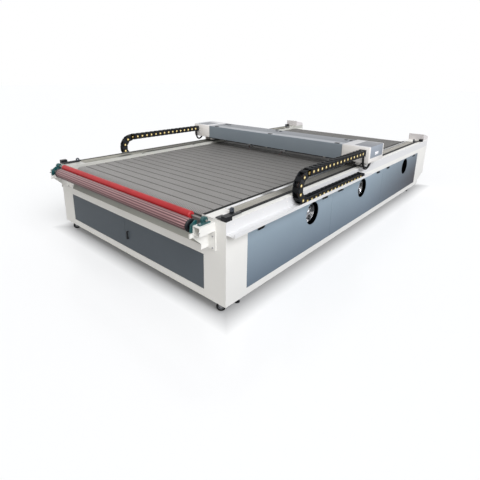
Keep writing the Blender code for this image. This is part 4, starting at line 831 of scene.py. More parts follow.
def tube(path: np.ndarray, radius: float, segments: int = 12, wrapped: bool = False) -> np.ndarray:
    """Rings of a round tube along a path that nowhere runs along its reference direction.

    At each point the ring lies across the path's tangent t, spanned by t x r and its cross with t.

    Args:
        path: Points of the centre line.
        radius: Radius of the tube.
        segments: Points round.
        wrapped: The path is a closed loop.

    Returns:
        Array of rings.
    """
    path = np.asarray(path, float)
    step = np.roll(path, -1, 0) - np.roll(path, 1, 0) if wrapped else np.gradient(path, axis=0)
    tangent = step / np.linalg.norm(step, axis=1, keepdims=True)
    spans = path.max(0) - path.min(0)
    reference = np.eye(3)[int(np.argmin(spans))]
    first = np.cross(tangent, reference)
    first /= np.linalg.norm(first, axis=1, keepdims=True)
    second = np.cross(first, tangent)
    turn = np.arange(segments) * math.tau / segments
    ring = np.cos(turn)[:, None] * first[:, None] + np.sin(turn)[:, None] * second[:, None]
    return path[:, None] + radius * ring


def at_x(x: float, line: np.ndarray) -> np.ndarray:
    """Points of a line in Y and Z, set at an X."""
    return np.column_stack([np.full(len(line), x), line])


def mirrored(half: list, middle: list | tuple = ()) -> list:
    """A profile from its half, which runs from the far end inwards, and its middle."""
    return [*((radius, -place) for radius, place in half), *middle, *half[::-1]]


def copies(rings: np.ndarray, spots: np.ndarray) -> np.ndarray:
    """The same rings moved to each spot."""
    return rings[None] + np.asarray(spots, float)[:, None, None, :]


def screw_heads(
    axis: str, facing: int, radius: float, height: float, sides: int = 14
) -> np.ndarray:
    """Rings of a cap screw's head standing on the origin, with a socket in its end.

    The profile runs up the outside, over a small chamfer and down into the socket.

    Args:
        axis: The screw's axis.
        facing: One or minus one, the way the head faces along the axis.
        radius: Radius of the head.
        height: Height of the head.
        sides: Points round; six makes a hexagon head.

    Returns:
        Array of rings.
    """
    lip, depth = radius * 0.2, height * 0.6
    profile = [(radius, 0), (radius, height - lip), (radius - lip, height), (radius * 0.5, height)]
    profile += [(radius * 0.42, height - depth), (radius * 0.02, height - depth)]
    profile = np.array(profile) * (1, facing)
    return revolved(profile, axis, (0, 0, 0), sides)


def refined(
    node: str,
    finish: Finish,
    body: str,
    edge: float = 0.0012,
    angle: float = 40.0,
    changed: Callable[[np.ndarray], np.ndarray] | None = None,
) -> bpy.types.Object:
    """A copy of a node with its triangles merged and its edges rounded, which stands for the node.

    Args:
        node: The node.
        finish: Its finish.
        body: The body it rides on.
        edge: Radius of the rounded edges.
        angle: Edges that turn more than this, in degrees, are rounded.
        changed: Optional function that changes the array of points.

    Returns:
        The new piece.
    """
    mesh = frame["nodes"][node].data.copy()
    mesh.name = node + "_finished"
    mesh.materials.clear()
    work = bmesh.new()
    work.from_mesh(mesh)
    bmesh.ops.remove_doubles(work, verts=work.verts, dist=2 * WELD)
    flat = math.radians(0.4)
    bmesh.ops.dissolve_limit(work, angle_limit=flat, verts=work.verts, edges=work.edges)
    work.to_mesh(mesh)
    work.free()
    for attribute in [a for a in mesh.attributes if a.name == "custom_normal"]:
        mesh.attributes.remove(attribute)
    if changed:
        points = np.empty(len(mesh.vertices) * 3)
        mesh.vertices.foreach_get("co", points)
        mesh.vertices.foreach_set("co", changed(points.reshape(-1, 3)).ravel())
    item = settle(mesh, node + "_finished", body, (finish,), 35.0)
    round_edges = item.modifiers.new("edges", "BEVEL")
    round_edges.width = edge
    round_edges.segments = 2
    round_edges.limit_method = "ANGLE"
    round_edges.angle_limit = math.radians(angle)
    round_edges.harden_normals = True
    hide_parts(node)
    return item


@dataclass
class Cabinet:
    """The welded frame, its side panels, doors, fans and small screws."""

    wall_screw_radius: float = 0.006
    wall_screw_height: float = 0.0014
    wall_screw_level: float = 0.868
    wall_screw_count: int = 14
    wall_screw_ends: tuple = (0.10, 0.16)
    tower_fall: float = 0.058
    tower_lap: float = 0.046
    peg_places: tuple = (1.36, 1.29)
    peg_share: float = 0.15
    peg_sunk: float = 0.006
    peg_radius: float = 0.008
    peg_height: float = 0.014
    grip_inset: float = 0.139
    grip_length: float = 0.110
    grip_height: float = 0.030
    grip_depth: float = 0.0035

    def build(self) -> None:
        """Builds and dresses every piece of the cabinet."""
        refined("base_frame", CREAM, ROOT, 0.0020, changed=self.sloped_towers)
        for side in Side:
            for index in (1, 2, 3):
                refined(f"side_panel_{side.label}_{index}", PANEL, ROOT, 0.0007)
            refined(f"front_door_{side.label}", SLATE, f"door_{side.label}")
            self.wall_screws(side)
            self.panel_grips(side)
        self.tower_pegs(Side.LEFT)
        for index in (1, 2):
            Fan(f"exhaust_fan_{index}").build()

    def sloped_towers(self, points: np.ndarray) -> np.ndarray:
        """Frame points with the rear edge of each tower's top lowered."""
        top, rear = points[:, 2].max() - 0.001, points[:, 1].max() - 0.001
        points[:, 2] -= self.tower_fall * (points[:, 2] > top) * (points[:, 1] > rear)
        return points

    def wall_screws(self, side: Side) -> None:
        """Small screws in a row along the upper outside of a wall, above the chain tray."""
        sign = side.value
        front, rear = self.wall_screw_ends
        places = np.linspace(FRONT_END + front, -FRONT_END - rear, self.wall_screw_count)
        spots = [(sign * BODY_SIDE, y, self.wall_screw_level) for y in places]
        head = screw_heads("X", sign, self.wall_screw_radius, self.wall_screw_height)
        Form().loft(copies(head, spots)).piece(f"wall_screws_{side.label}", ROOT, HOUSING)

    def panel_grips(self, side: Side) -> None:
        """Black blocks, painted shade, at finger grips in each panel's top, one towards either end."""
        sign, form = side.value, Form()
        for index in (1, 2, 3):
            low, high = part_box(f"side_panel_{side.label}_{index}")
            for start in (low.y + self.grip_inset, high.y - self.grip_inset - self.grip_length):
                corner = (sign * (BODY_SIDE - self.grip_depth), start, high.z - self.grip_height)
                form.block(corner, (sign * BODY_SIDE, start + self.grip_length, high.z), 0.0012, 2)
        # Black blocks: painted shade in the grips' notches.
        form.piece(f"panel_grips_{side.label}", ROOT, RUBBER)

    def tower_pegs(self, side: Side) -> None:
        """Cap screws on the slope of a control tower's top."""
        _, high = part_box("base_frame")
        depth = high.y + FRONT_END + self.tower_lap
        y = high.y - depth * (1 - self.peg_share)
        z = high.z - self.tower_fall * self.peg_share - self.peg_sunk
        head = screw_heads("Z", 1, self.peg_radius, self.peg_height)
        form = Form().loft(copies(head, [(side.value * x, y, z) for x in self.peg_places]))
        form.piece(f"tower_screws_{side.label}", ROOT, ZINC)


@dataclass
class Fan:
    """An exhaust fan: its casing, the blades round its hub and a wire guard in front."""

    node: str
    blades: int = 9
    wire: float = 0.0021
    rings: int = 5
    hub: float = 0.046
    tip: float = 0.096
    setback: float = 0.045
    chords: tuple = (0.020, 0.036)
    pitches: tuple = (60.0, 28.0)
    half_thickness: float = 0.0012
    cap: float = 0.026
    ring_reach: float = 0.016
    wire_reach: float = 0.018

    def build(self) -> None:
        """Builds the blades and the guard and dresses the casing."""
        low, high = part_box(self.node)
        centre = (low + high) / 2
        refined(self.node, FAN, ROOT, 0.001)
        self.impeller(high.x - self.setback, centre)
        self.guard(high.x + self.wire, centre)

    def impeller(self, place: float, centre: Vector) -> None:
        """Twisted blades: across the radius the blade turns from steep to flat.

        Each blade is a thin plate whose half chord c and pitch angle p change with the radius r, so
        that its corners lie at place + c sin p along the axis and at angle + c cos p / r about it.

        Args:
            place: X of the blades' middle.
            centre: The fan's middle.
        """
        radius = np.linspace(self.hub, self.tip, 6)[:, None]
        share = (radius - self.hub) / (self.tip - self.hub)
        chord = np.array([-1, 1, 1, -1]) * (self.chords[0] + np.diff(self.chords) * share)
        pitch = np.radians(self.pitches[0] + np.diff(self.pitches) * share)
        thick = np.array([-1, -1, 1, 1]) * self.half_thickness
        start = (np.arange(self.blades) * math.tau / self.blades)[:, None, None]
        angle = start + (chord * np.cos(pitch) - thick * np.sin(pitch)) / radius
        along = place + chord * np.sin(pitch) + thick * np.cos(pitch) + np.zeros_like(start)
        spread = centre.y + radius * np.cos(angle), centre.z + radius * np.sin(angle)
        Form().loft(np.stack([along, *spread], -1)).piece(f"{self.node}_blades", ROOT, ZINC)

    def guard(self, place: float, centre: Vector) -> None:
        """Wire rings about the fan's axis, crossed by straight wires, with a cap in the middle.

        Args:
            place: X of the rings.
            centre: The fan's middle.
        """
        form, middle = Form(), np.array((centre.y, centre.z))
        for radius in np.linspace(self.cap + 0.002, self.tip + self.ring_reach, self.rings):
            ring = at_x(place, arc(middle, radius, 0, 360, 40)[:-1])
            form.loft(tube(ring, self.wire, 6, True), wrapped=True)
        for angle in np.radians([45, 135]):
            reach = (self.tip + self.wire_reach) * np.linspace(-1, 1, 3)[:, None]
            line = middle + reach * (math.cos(angle), math.sin(angle))
            form.loft(tube(at_x(place - self.wire, line), self.wire, 6))
        dome = arc((0, 0), self.cap, 0, 80, 5) * (1, 0.25)
        form.loft(revolved(dome, "X", (place, *middle), 28))
        form.piece(f"{self.node}_guard", ROOT, CHROME)


@dataclass
class Conveyor:
    """The slatted conveyor and the sheet under its front end."""

    slats: int = 78
    joint_width: float = 0.018
    joint_depth: float = 0.004
    joint_slope: float = 0.0008
    land: float = 0.004
    thickness: float = 0.006
    edge: float = 0.0015

    def build(self) -> None:
        """Builds the belt and dresses the rollers and the apron."""
        self.belt()
        refined("table_apron", OLIVE, ROOT, 0.0005)
        for name in ("idler_roller", "drive_roller"):
            refined(name, ZINC, name, 0.001)

    def belt(self) -> None:
        """The closed belt: a flat band carried round a loop, with a step down at each slat's joint.

        The loop is two straights and two half circles.  A place s on it lies on the loop's outside
        moved in by an inset, which is the joint's depth within half a joint of a slat's end.
        """
        low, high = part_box("conveyor_belt")
        radius = (high.z - low.z) / 2
        half = (high.y - low.y) / 2 - radius
        total = 2 * (2 * half + math.pi * radius)
        pitch, side = total / self.slats, self.joint_width / 2
        marks = np.array([-side, -side + self.joint_slope, side - self.joint_slope, side])
        body = np.linspace(side + self.land, pitch - side - self.land, 5)
        insets = np.concatenate([np.array([0, 1, 1, 0]) * self.joint_depth, np.zeros(body.size)])
        starts = (np.arange(self.slats) + 0.5) * pitch
        places = (starts[:, None] + np.concatenate([marks, body])).ravel() % total
        order = np.argsort(places, kind="stable")
        places, depth = places[order], np.tile(insets, self.slats)[order]
        outer, inner = (
            self.on_loop(places, inset, half, radius) + ((low.y + high.y) / 2, (low.z + high.z) / 2)
            for inset in (depth, np.full_like(places, self.thickness))
        )
        soft = outer + (inner - outer) * (self.edge / self.thickness)
        right = ((high.x - self.edge, outer), (high.x, soft), (high.x, inner))
        left = ((low.x, inner), (low.x, soft), (low.x + self.edge, outer))
        form = Form().loft(np.stack([at_x(x, line) for x, line in right + left], 1), wrapped=True)
        item = form.piece("slatted_belt", ROOT, SLATS, JOINT, crease=30)
        self.mark_joints(item, depth)
        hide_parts("conveyor_belt")

    def mark_joints(self, item: bpy.types.Object, depth: np.ndarray) -> None:
        """Gives the faces at the bottom of each joint their own finish."""
        around = len(item.data.polygons) // len(depth)
        low = (depth > 0) & (np.roll(depth, -1) > 0)
        marks = np.repeat(low, around).astype(int)
        item.data.polygons.foreach_set("material_index", marks.tolist())

    def on_loop(
        self, place: np.ndarray, inset: np.ndarray, half: float, radius: float
    ) -> np.ndarray:
        """Points of the loop at distances along its outside, moved in by an inset.

        Args:
            place: Distances along the outside, from the upper straight's front end.
            inset: How far each point is moved towards the loop's inside.
            half: Half the length of a straight.
            radius: Outer radius of the bends.

        Returns:
            Rows of Y and Z about the loop's middle.
        """
        straight, bend = 2 * half, math.pi * radius
        reach = radius - inset
        first = (place - straight) / radius
        second = (place - 2 * straight - bend) / radius
        top = np.column_stack([place - half, reach])
        rear = np.column_stack([half + reach * np.sin(first), reach * np.cos(first)])
        bottom = np.column_stack([half - (place - straight - bend), -reach])
        front = np.column_stack([-half - reach * np.sin(second), -reach * np.cos(second)])
        zone = np.digitize(place, [straight, straight + bend, 2 * straight + bend])
        return np.choose(zone[:, None], [top, rear, bottom, front])


@dataclass
class Guides:
    """Rails, channels, belts and belt anchors on top of a side wall."""

    side: Side
    rail_share: float = 0.36
    floor_lift: float = 0.018
    floor_sheet: float = 0.0055
    cap_setback: float = 0.010
    cap_lip: float = 0.003
    carriage_places: tuple = (0.095, 0.245)
    carriage_length: float = 0.095
    carriage_lip: float = 0.008
    slot_places: tuple = (-1.586, -0.567, 0.452, 1.471)
    slot_length: float = 0.055
    slot_x: tuple = (-WELL_SIDE - 0.034, -WELL_SIDE - 0.018)
    strip_x: tuple = (WELL_SIDE + 0.002, WELL_SIDE + 0.036)

    def build(self) -> None:
        """Dresses the side's guides and adds carriages, belt clamps and the walls' small trim."""
        label = self.side.label
        right = self.side is Side.RIGHT
        # The left side's rail and channel are duller, darker copies: painted shade.
        rail, channel = (RAIL, CHANNEL) if right else (SHADED_RAIL, SHADED_CHANNEL)
        refined(f"travel_rail_{label}", rail, ROOT, 0.0006, changed=self.low_rail)
        refined(f"rail_channel_{label}", channel, ROOT, 0.0005)
        refined(f"travel_belt_{label}", TOOTHED, ROOT, 0.0008)
        refined(f"chain_tray_{label}", CREAM, ROOT, 0.0006, changed=self.raised_floor)
        for end in ("front", "rear"):
            refined(f"belt_anchor_{end}_{label}", ANCHOR, ROOT, 0.0015)
        self.carriage()
        self.clamp_cap()
        if right:
            self.edge_strip()
        else:
            self.lip_slots()

    def clamp_cap(self) -> None:
        """Black cap over the front anchor's block, with the belt's clamp behind it."""
        low, high = (corner.copy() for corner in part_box(f"belt_anchor_front_{self.side.label}"))
        belt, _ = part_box(f"travel_belt_{self.side.label}")
        if self.side is Side.RIGHT:
            high.x -= self.cap_setback
        else:
            low.x += self.cap_setback
        top, middle, lip = belt.z + 0.004, (low.x + high.x) / 2, self.cap_lip
        form, start = Form(), (low.x - lip, low.y - lip, low.z + 0.010)
        form.block(start, (high.x + lip, low.y + 0.080, top + 0.016), 0.006)
        start = (middle - 0.014, low.y + 0.070, top)
        form.block(start, (middle + 0.020, high.y + 0.040, top + 0.012), 0.004)
        form.piece(f"belt_clamp_cap_{self.side.label}", ROOT, BLACK)

    def low_rail(self, points: np.ndarray) -> np.ndarray:
        """Rail points with their height above the wall cut to the visible rail's."""
        base = points[:, 2].min()
        points[:, 2] = base + (points[:, 2] - base) * self.rail_share
        return points

    def raised_floor(self, points: np.ndarray) -> np.ndarray:
        """Tray points with the floor lifted to the height seen at its front end."""
        base = points[:, 2].min()
        points[:, 2] += self.floor_lift * (points[:, 2] < base + self.floor_sheet)
        return points

    def carriage(self) -> None:
        """The two bearing carriages that ride the rail under the housing."""
        low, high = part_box(f"travel_rail_{self.side.label}")
        front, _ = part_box(f"end_housing_{self.side.label}")
        base = low.z + (high.z - low.z) * self.rail_share + 0.0004
        form, lip = Form(), self.carriage_lip
        for start in (front.y + place for place in self.carriage_places):
            far = (high.x + lip, start + self.carriage_length, high.z + 0.0008)
            form.block((low.x - lip, start, base), far)
        form.piece(f"rail_carriages_{self.side.label}", GANTRY, BLACK)

    def lip_slots(self) -> None:
        """Painted shade as short dark blocks at slots along the wall's inner lip."""
        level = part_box("travel_rail_left")[0].z
        form, (near, far) = Form(), self.slot_x
        for y in self.slot_places:
            end = (far, y + self.slot_length, level + 0.0012)
            form.block((near, y, level + 0.0001), end, 0.0005, 2)
        # Black blocks: painted shade in the slots.
        form.piece("lip_slots_left", ROOT, RUBBER)

    def edge_strip(self) -> None:
        """A black rubber strip on the wall's top along the conveyor."""
        low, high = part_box(f"travel_rail_{self.side.label}")
        near, far = (self.side.value * x for x in self.strip_x)
        start, end = (near, FRONT_END + 0.004, low.z + 0.0002), (far, high.y, low.z + 0.003)
        Form().block(start, end, 0.001, 2).piece(f"edge_strip_{self.side.label}", ROOT, RUBBER)


@dataclass
class Chain:
    """A drag chain: plates that overlap link by link, cross bars, pins and the cables inside."""

    side: Side
    links: int = 16
    bend_links: int = 5
    plate: float = 0.0048
    plate_gap: float = 0.0002
    plate_draw: float = 0.965
    inner_plate_fall: float = 0.0012
    bar_share: float = 0.60
    bend_bar_share: float = 0.62
    bar_thickness: float = 0.006
    bar_proud: float = 0.0025
    bar_gap: float = 0.001
    pin_radius: float = 0.0110
    pin_height: float = 0.0018
    ring_radius: float = 0.0172
    ring_height: float = 0.0006
    floor: float = 0.8016
    cable_rows: tuple = ((0.28, 0.0075, 0), (0.52, 0.0060, 1), (0.74, 0.0085, 0))
    bracket_share: float = 0.8
    bracket_reach: float = 0.0245
    bracket_plate: float = 0.0075

    def __post_init__(self) -> None:
        """Reads the chain's places from its nodes."""
        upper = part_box(f"chain_upper_{self.side.label}")
        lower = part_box(f"chain_lower_{self.side.label}")
        self.inner_x, self.outer_x = sorted((abs(upper[0].x), abs(upper[1].x)))
        self.height = upper[1].z - upper[0].z - 2 * self.bar_proud
        self.upper_z, self.lower_z = ((low.z + high.z) / 2 for low, high in (upper, lower))
        self.start, self.stop, self.lower_stop = upper[0].y, upper[1].y, lower[1].y
        self.pitch = (self.stop - self.start) / self.links
        self.radius = (self.upper_z - self.lower_z) / 2
        self.middle = self.start, (self.upper_z + self.lower_z) / 2

    def build(self) -> None:
        """Builds both runs, the bend and the brackets."""
        label, level = self.side.label, np.zeros(self.links)
        places = self.start + np.arange(self.links) * self.pitch
        joints = arc(self.middle, self.radius, 90, 270, self.bend_links)
        steps = np.diff(joints, axis=0)
        bend = (*joints[:-1].T, np.arctan2(steps[:, 1], steps[:, 0]), -1)
        for part, rows, z, way, tip in (
            ("upper", (places, level + self.upper_z, level, 1), self.upper_z, 1, self.stop),
            ("lower", (places, level + self.lower_z, level, -1), self.lower_z, -1, self.lower_stop),
        ):
            start, end = [(0, tip - 2 * (tip - self.start), z), (0, tip, z)][::way]
            for item in self.pieces(part, rows):
                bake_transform(item, ROOT, GANTRY, start, end)
        for item in self.pieces("bend", bend):
            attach(item, f"chain_bend_{label}")
        self.brackets()

    def pieces(self, part: str, rows: tuple) -> list[bpy.types.Object]:
        """The plates, bars, pins and cables of one stretch of the chain.

        Args:
            part: upper, lower or bend.
            rows: Y and Z of each link's first joint, its heading in radians, and which way across
                the heading is outwards.

        Returns:
            The new pieces.
        """
        label = self.side.label
        plates, pins = Form(), Form()
        for far in (False, True):
            for leading in (True, False):
                plates.loft(self.laid(self.plate_rings(far, leading), rows))
            ring = self.pin_rings(far, self.ring_radius, self.ring_height)
            pins.loft(self.laid(ring, rows), finish=1)
            pins.loft(self.laid(self.pin_rings(far, self.pin_radius, self.pin_height), rows))
        for outward in (1,) if part == "lower" else (1, -1):
            plates.loft(self.laid(self.bar_rings(outward, part == "bend"), rows), finish=1)
        first = plates.piece(f"chain_{part}_{label}_links", None, CHAIN, BAR, crease=40)
        second = pins.piece(f"chain_{part}_{label}_pins", None, PIN, PIN_RING, crease=40)
        cables = self.cables(part, rows)
        third = cables.piece(f"chain_{part}_{label}_cables", None, CABLE, RED_CABLE)
        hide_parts(f"chain_{part}_{label}")
        return [first, second, third]

    def laid(self, rings: np.ndarray, rows: tuple) -> np.ndarray:
        """Rings in link coordinates laid at every link, nowhere under the tray's floor.

        Args:
            rings: Rings whose coordinates are along, outwards and across.
            rows: The links' joints, headings and outward side, as in pieces.

        Returns:
            The rings on the machine, with one more leading axis for the links.
        """
        y, z, heading, outward = rows
        along, out, across = rings[..., 0], rings[..., 1] * outward, rings[..., 2]
        cosine, sine = np.cos(heading)[:, None, None], np.sin(heading)[:, None, None]
        place_y = y[:, None, None] + along * cosine - out * sine
        place_z = np.maximum(z[:, None, None] + along * sine + out * cosine, self.floor)
        place_x = np.broadcast_to(self.side.value * across, place_y.shape)
        return np.stack([place_x, place_y, place_z], -1)

    def plate_rings(self, far: bool, leading: bool) -> np.ndarray:
        """Half of a link's side plate: a bar with one round end about a joint.

        Args:
            far: The plate on the chain's outer side.
            leading: The half about the link's second joint, which lies outside the next link's.

        Returns:
            Four rings in link coordinates.
        """
        pitch = self.pitch
        radius = self.height / 2 - (0.0 if leading else self.inner_plate_fall)
        if leading:
            cap = arc((pitch, 0), radius, -90, 90, 8)
            back = [(pitch * 0.42, radius), (pitch * 0.36, 0), (pitch * 0.42, -radius)]
        else:
            cap = arc((0, 0), radius, 90, 270, 8)
            back = [(pitch * 0.62, -radius), (pitch * 0.62, radius)]
        outline = np.concatenate([cap, back])
        skin = 0.0 if leading else self.plate + self.plate_gap
        edge = self.outer_x - skin if far else self.inner_x + skin
        inward = -self.plate if far else self.plate
        middle = outline.mean(0)
        drawn = middle + (outline - middle) * self.plate_draw
        stations = ((drawn, 0), (outline, 0.25), (outline, 0.75), (drawn, 1))
        rings = [np.insert(line, 2, edge + inward * share, axis=1) for line, share in stations]
        return np.stack(rings)

    def bar_rings(self, outward: int, bent: bool) -> np.ndarray:
        """A cross bar between the plates, rounded along its length, in link coordinates.

        Args:
            outward: One for the bar on the outer side of the bend, minus one for the inner.
            bent: The bar is one of the bend's.

        Returns:
            The bar's rings.
        """
        half = self.pitch * (self.bend_bar_share if bent else self.bar_share) / 2
        near = self.height / 2 - self.bar_thickness + self.bar_proud
        start = (-half, near, self.inner_x + self.bar_gap)
        end = (half, near + self.bar_thickness, self.outer_x - self.bar_gap)
        return block(start, end, 0.002, 2) * (1, outward, 1) + (self.pitch / 2, 0, 0)

    def pin_rings(self, far: bool, radius: float, proud: float) -> np.ndarray:
        """A round pin head at a link's first joint, crowned towards the outside.

        Args:
            far: The head on the chain's outer side.
            radius: Radius of the head.
            proud: How far it stands off the plate.

        Returns:
            The head's rings in link coordinates.
        """
        edge, way = (self.outer_x, 1) if far else (self.inner_x, -1)
        profile = [(1, -0.001), (1, proud * 0.5), (0.8, proud), (0.05, proud)]
        return revolved(np.array(profile) * (radius, way), "Z", (0, 0, edge), 16)

    def cables(self, part: str, rows: tuple) -> Form:
        """Three cables that follow the joints inside the chain.

        Args:
            part: upper, lower or bend.
            rows: The links' joints, headings and outward side, as in pieces.

        Returns:
            The cables' form.
        """
        y, z, heading, _ = rows
        end_y = y[-1] + self.pitch * np.cos(heading[-1])
        end_z = z[-1] + self.pitch * np.sin(heading[-1])
        line = np.column_stack([np.append(y, end_y), np.append(z, end_z)])
        if part == "bend":
            line = arc(self.middle, self.radius, 90, 270, 16)
        form = Form()
        for share, radius, finish in self.cable_rows:
            x = self.side.value * (self.inner_x + (self.outer_x - self.inner_x) * share)
            form.loft(tube(at_x(x, line), radius, 10), finish=finish)
        return form

    def brackets(self) -> None:
        """The end plates: one holds the upper run to the gantry, one the lower run to the tray."""
        sign, high = self.side.value, self.height / 2 * self.bracket_share
        tray = self.start + self.links * self.pitch
        for body, name, y, z in (
            (GANTRY, "gantry", self.stop, self.upper_z),
            (ROOT, "tray", tray, self.lower_z),
        ):
            form, rear = Form(), y + self.bracket_reach
            outline = [*arc((y, z), high, 90, 270, 8), (rear, z - high), (rear, z + high)]
            for x in (self.inner_x + 0.0005, self.outer_x - self.plate - 0.0005):
                form.loft(prism(outline, "X", sign * x, sign * (x + self.plate), 0.0006))
            start = (sign * self.inner_x, rear - self.bracket_plate, z - high)
            form.block(start, (sign * self.outer_x, rear, z + high), 0.0015)
            form.piece(f"chain_bracket_{name}_{self.side.label}", body, BLACK)


@dataclass
class Gantry:
    """The gantry's cover, end housings, latches, fittings and laser heads."""

    sheet: float = 0.0015
    skin: float = 0.013
    edge: float = 0.009
    rear_edge: float = 0.014
    lower_edge: float = 0.004
    drop: float = 0.0065
    cover_base: float = 0.012
    rail_y: tuple = (-0.133, -0.083)
    latch: tuple = (0.062, 0.050, 0.018)
    latch_inset: float = 0.004
    latch_places: tuple = (-1.085, 0.05, 1.165)
    handle_places: tuple = (-1.12, -0.02, 1.17)
    handle_steps: tuple = (-0.036, 0.036)
    foot: tuple = (0.032, 0.045, 0.012)
    foot_setback: float = 0.130
    fitting_places: tuple = (-0.325, 0.012, 0.341, 1.007)
    fitting: tuple = (
        ((-0.022, -0.002, 0.001), (0.012, 0.010, 0.014), 0.002),
        ((0.013, -0.003, -0.004), (0.050, 0.012, 0.012), 0.003),
    )
    housing_base: float = 0.989
    top_insets: dict = field(
        default_factory=lambda: {
            Side.RIGHT: (0.150, 0.001, 0.040), Side.LEFT: (0.090, 0.055, 0.160)
        }
    )
    pale_plate: tuple = ((0.012, 1.080), (0.123, 1.118))
    cable_lift: dict = field(default_factory=lambda: {Side.RIGHT: 0.0, Side.LEFT: 0.034})
    cable_width: float = 1.35
    left_cable_reach: float = 0.150
    branch_knots: tuple = ((1.395, -0.165, 0.972), (1.470, -0.200, 0.945))
    pointers: tuple = ((0.070, -0.150, 0.045, -0.140), (0.027, -0.110, -0.002, -0.154))
    pointer_z: tuple = (0.950, 0.889)
    pointer_radius: float = 0.0013

    def build(self) -> None:
        """Builds and dresses the gantry's pieces."""
        self.cover()
        for side in Side:
            self.housing(side)
            self.cable(side)
        self.latches()
        self.fittings()
        for index in (1, 2):
            self.head(index)

    def cover(self) -> None:
        """The beam's cover: an outline with a round upper front edge carried across the machine."""
        low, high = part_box("gantry_beam")
        base, top = low.z + self.cover_base, high.z - self.drop
        edge, rear, foot = self.edge, self.rear_edge, self.lower_edge
        corners = (
            arc((low.y + edge, top - edge), edge, 180, 90, 10),
            arc((high.y - rear, top - rear), rear, 90, 0, 5),
            arc((high.y - foot, base + foot), foot, 0, -90, 3),
            arc((low.y + foot, base + foot), foot, 270, 180, 3),
        )
        form = Form().loft(prism(np.concatenate(corners), "X", low.x, high.x, 0.001))
        item = form.piece("gantry_cover", GANTRY, COVER, crease=25)
        left, right, under = low.x + 0.002, high.x - 0.002, base - 0.0002
        front, back = self.rail_y
        Form().block((left, front, low.z), (right, back, under)).piece("head_rail", GANTRY, BLACK)
        strip = Form().block((left, low.y + 0.001, base - 0.009), (right, low.y + 0.012, under))
        strip.piece("cover_seal", GANTRY, RUBBER)
        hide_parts("gantry_beam")

    def housing(self, side: Side) -> None:
        """One end housing, with its grey plates let into the top and the outer side."""
        sign, label, sheet = side.value, side.label, self.sheet
        low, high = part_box(f"end_housing_{label}")
        inner, outer = sorted((abs(low.x), abs(high.x)))

        def drawn_in(points: np.ndarray) -> np.ndarray:
            """Points of the top and outer skin moved in by the plates' thickness."""
            points[:, 2] -= sheet * (points[:, 2] > high.z - self.skin)
            points[:, 0] -= sign * sheet * (np.abs(points[:, 0]) > outer - self.skin)
            return points

        refined(f"end_housing_{label}", HOUSING, GANTRY, 0.004, 50.0, drawn_in)
        inward, outward, rear = self.top_insets[side]
        depth, pale = sheet + 0.004, self.pale_plate
        for name, finish, edge, start, end in (
            ("top", INSET, 0.0012, (inner + inward, low.y + 0.048, high.z - depth),
             (outer - outward, high.y - rear, high.z)),
            ("side", INSET_SIDE, 0.0006, (outer - depth, low.y + 0.033, self.housing_base + 0.060),
             (outer - 0.0006, high.y - 0.040, high.z - 0.001)),
            ("pale", PALE, 0.0006, (outer - 0.002, *pale[0]), (outer, *pale[1])),
        ):
            start, end = np.array((start, end)) * (sign, 1, 1)
            form = Form().block(start, end, edge, 2)
            form.piece(f"housing_{name}_plate_{label}", GANTRY, finish)

    def cable(self, side: Side) -> None:
        """The cable that leaves the chain's end, hangs and turns up into the housing.

        Its line is a cubic Bezier curve: the weights of its four points at a share t are
        (1 - t)^3, 3 t (1 - t)^2, 3 t^2 (1 - t) and t^3, and the two inner points lie straight
        below its ends, as far as the sag asks.
        """
        label = side.label
        low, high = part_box(f"chain_cable_{label}")
        radius = (high.x - low.x) / 2
        front, top, under = low.y + radius, high.z, self.housing_base - 0.002
        rear = front + self.left_cable_reach if side is Side.LEFT else high.y - radius
        sag = (low.z + radius + self.cable_lift[side] + (top + under) / 4) / 1.5
        knots = [(front, top), (front, 2 * sag - top), (rear, 2 * sag - under), (rear, under)]
        t = np.linspace(0, 1, 36)[:, None]
        weights = np.hstack([(1 - t) ** 3, 3 * t * (1 - t) ** 2, 3 * t**2 * (1 - t), t**3])
        path = at_x((low.x + high.x) / 2, weights @ np.array(knots))
        form = Form().loft(tube(path, radius * self.cable_width, 16))
        if side is Side.RIGHT:
            form.loft(tube(self.branch(path[22]), radius, 12))
        item = form.piece(f"chain_cable_{label}_sheath", GANTRY, CABLE)
        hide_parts(f"chain_cable_{label}")

    def branch(self, end: np.ndarray) -> np.ndarray:
        """A second cable's line, from under the housing to a point of the first.

        It is a quadratic Bezier curve with weights (1 - t)^2, 2 t (1 - t) and t^2.

        Args:
            end: The point where it ends.

        Returns:
            Points of the line.
        """
        t = np.linspace(0, 1, 14)[:, None]
        weights = np.hstack([(1 - t) ** 2, 2 * t * (1 - t), t**2])
        return weights @ np.array([*self.branch_knots, end])

    def latches(self) -> None:
        """Black latches along the cover's upper front edge and handle feet on its top."""
        low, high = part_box("gantry_beam")
        width, depth, height = self.latch
        form, front = Form(), low.y + self.latch_inset
        for x in self.latch_places:
            start = (x - width / 2, front, high.z - height)
            form.block(start, (x + width / 2, front + depth, high.z), 0.004)
        width, depth, height = self.foot
        front = high.y - self.foot_setback
        for x in (place + step for place in self.handle_places for step in self.handle_steps):
            start = (x - width / 2, front, high.z - height)
            form.block(start, (x + width / 2, front + depth, high.z))
        form.piece("cover_latches", GANTRY, BLACK)

    def fittings(self) -> None:
        """Small bright air fittings in a row under the cover's front edge, with black ends."""
        low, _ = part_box("gantry_beam")
        form = Form()
        for x in self.fitting_places:
            for index, (start, end, edge) in enumerate(self.fitting):
                spot = np.array((x, low.y, low.z))
                form.block(spot + start, spot + end, edge, 2, index)
        form.piece("air_fittings", GANTRY, SHAFT, BLACK)

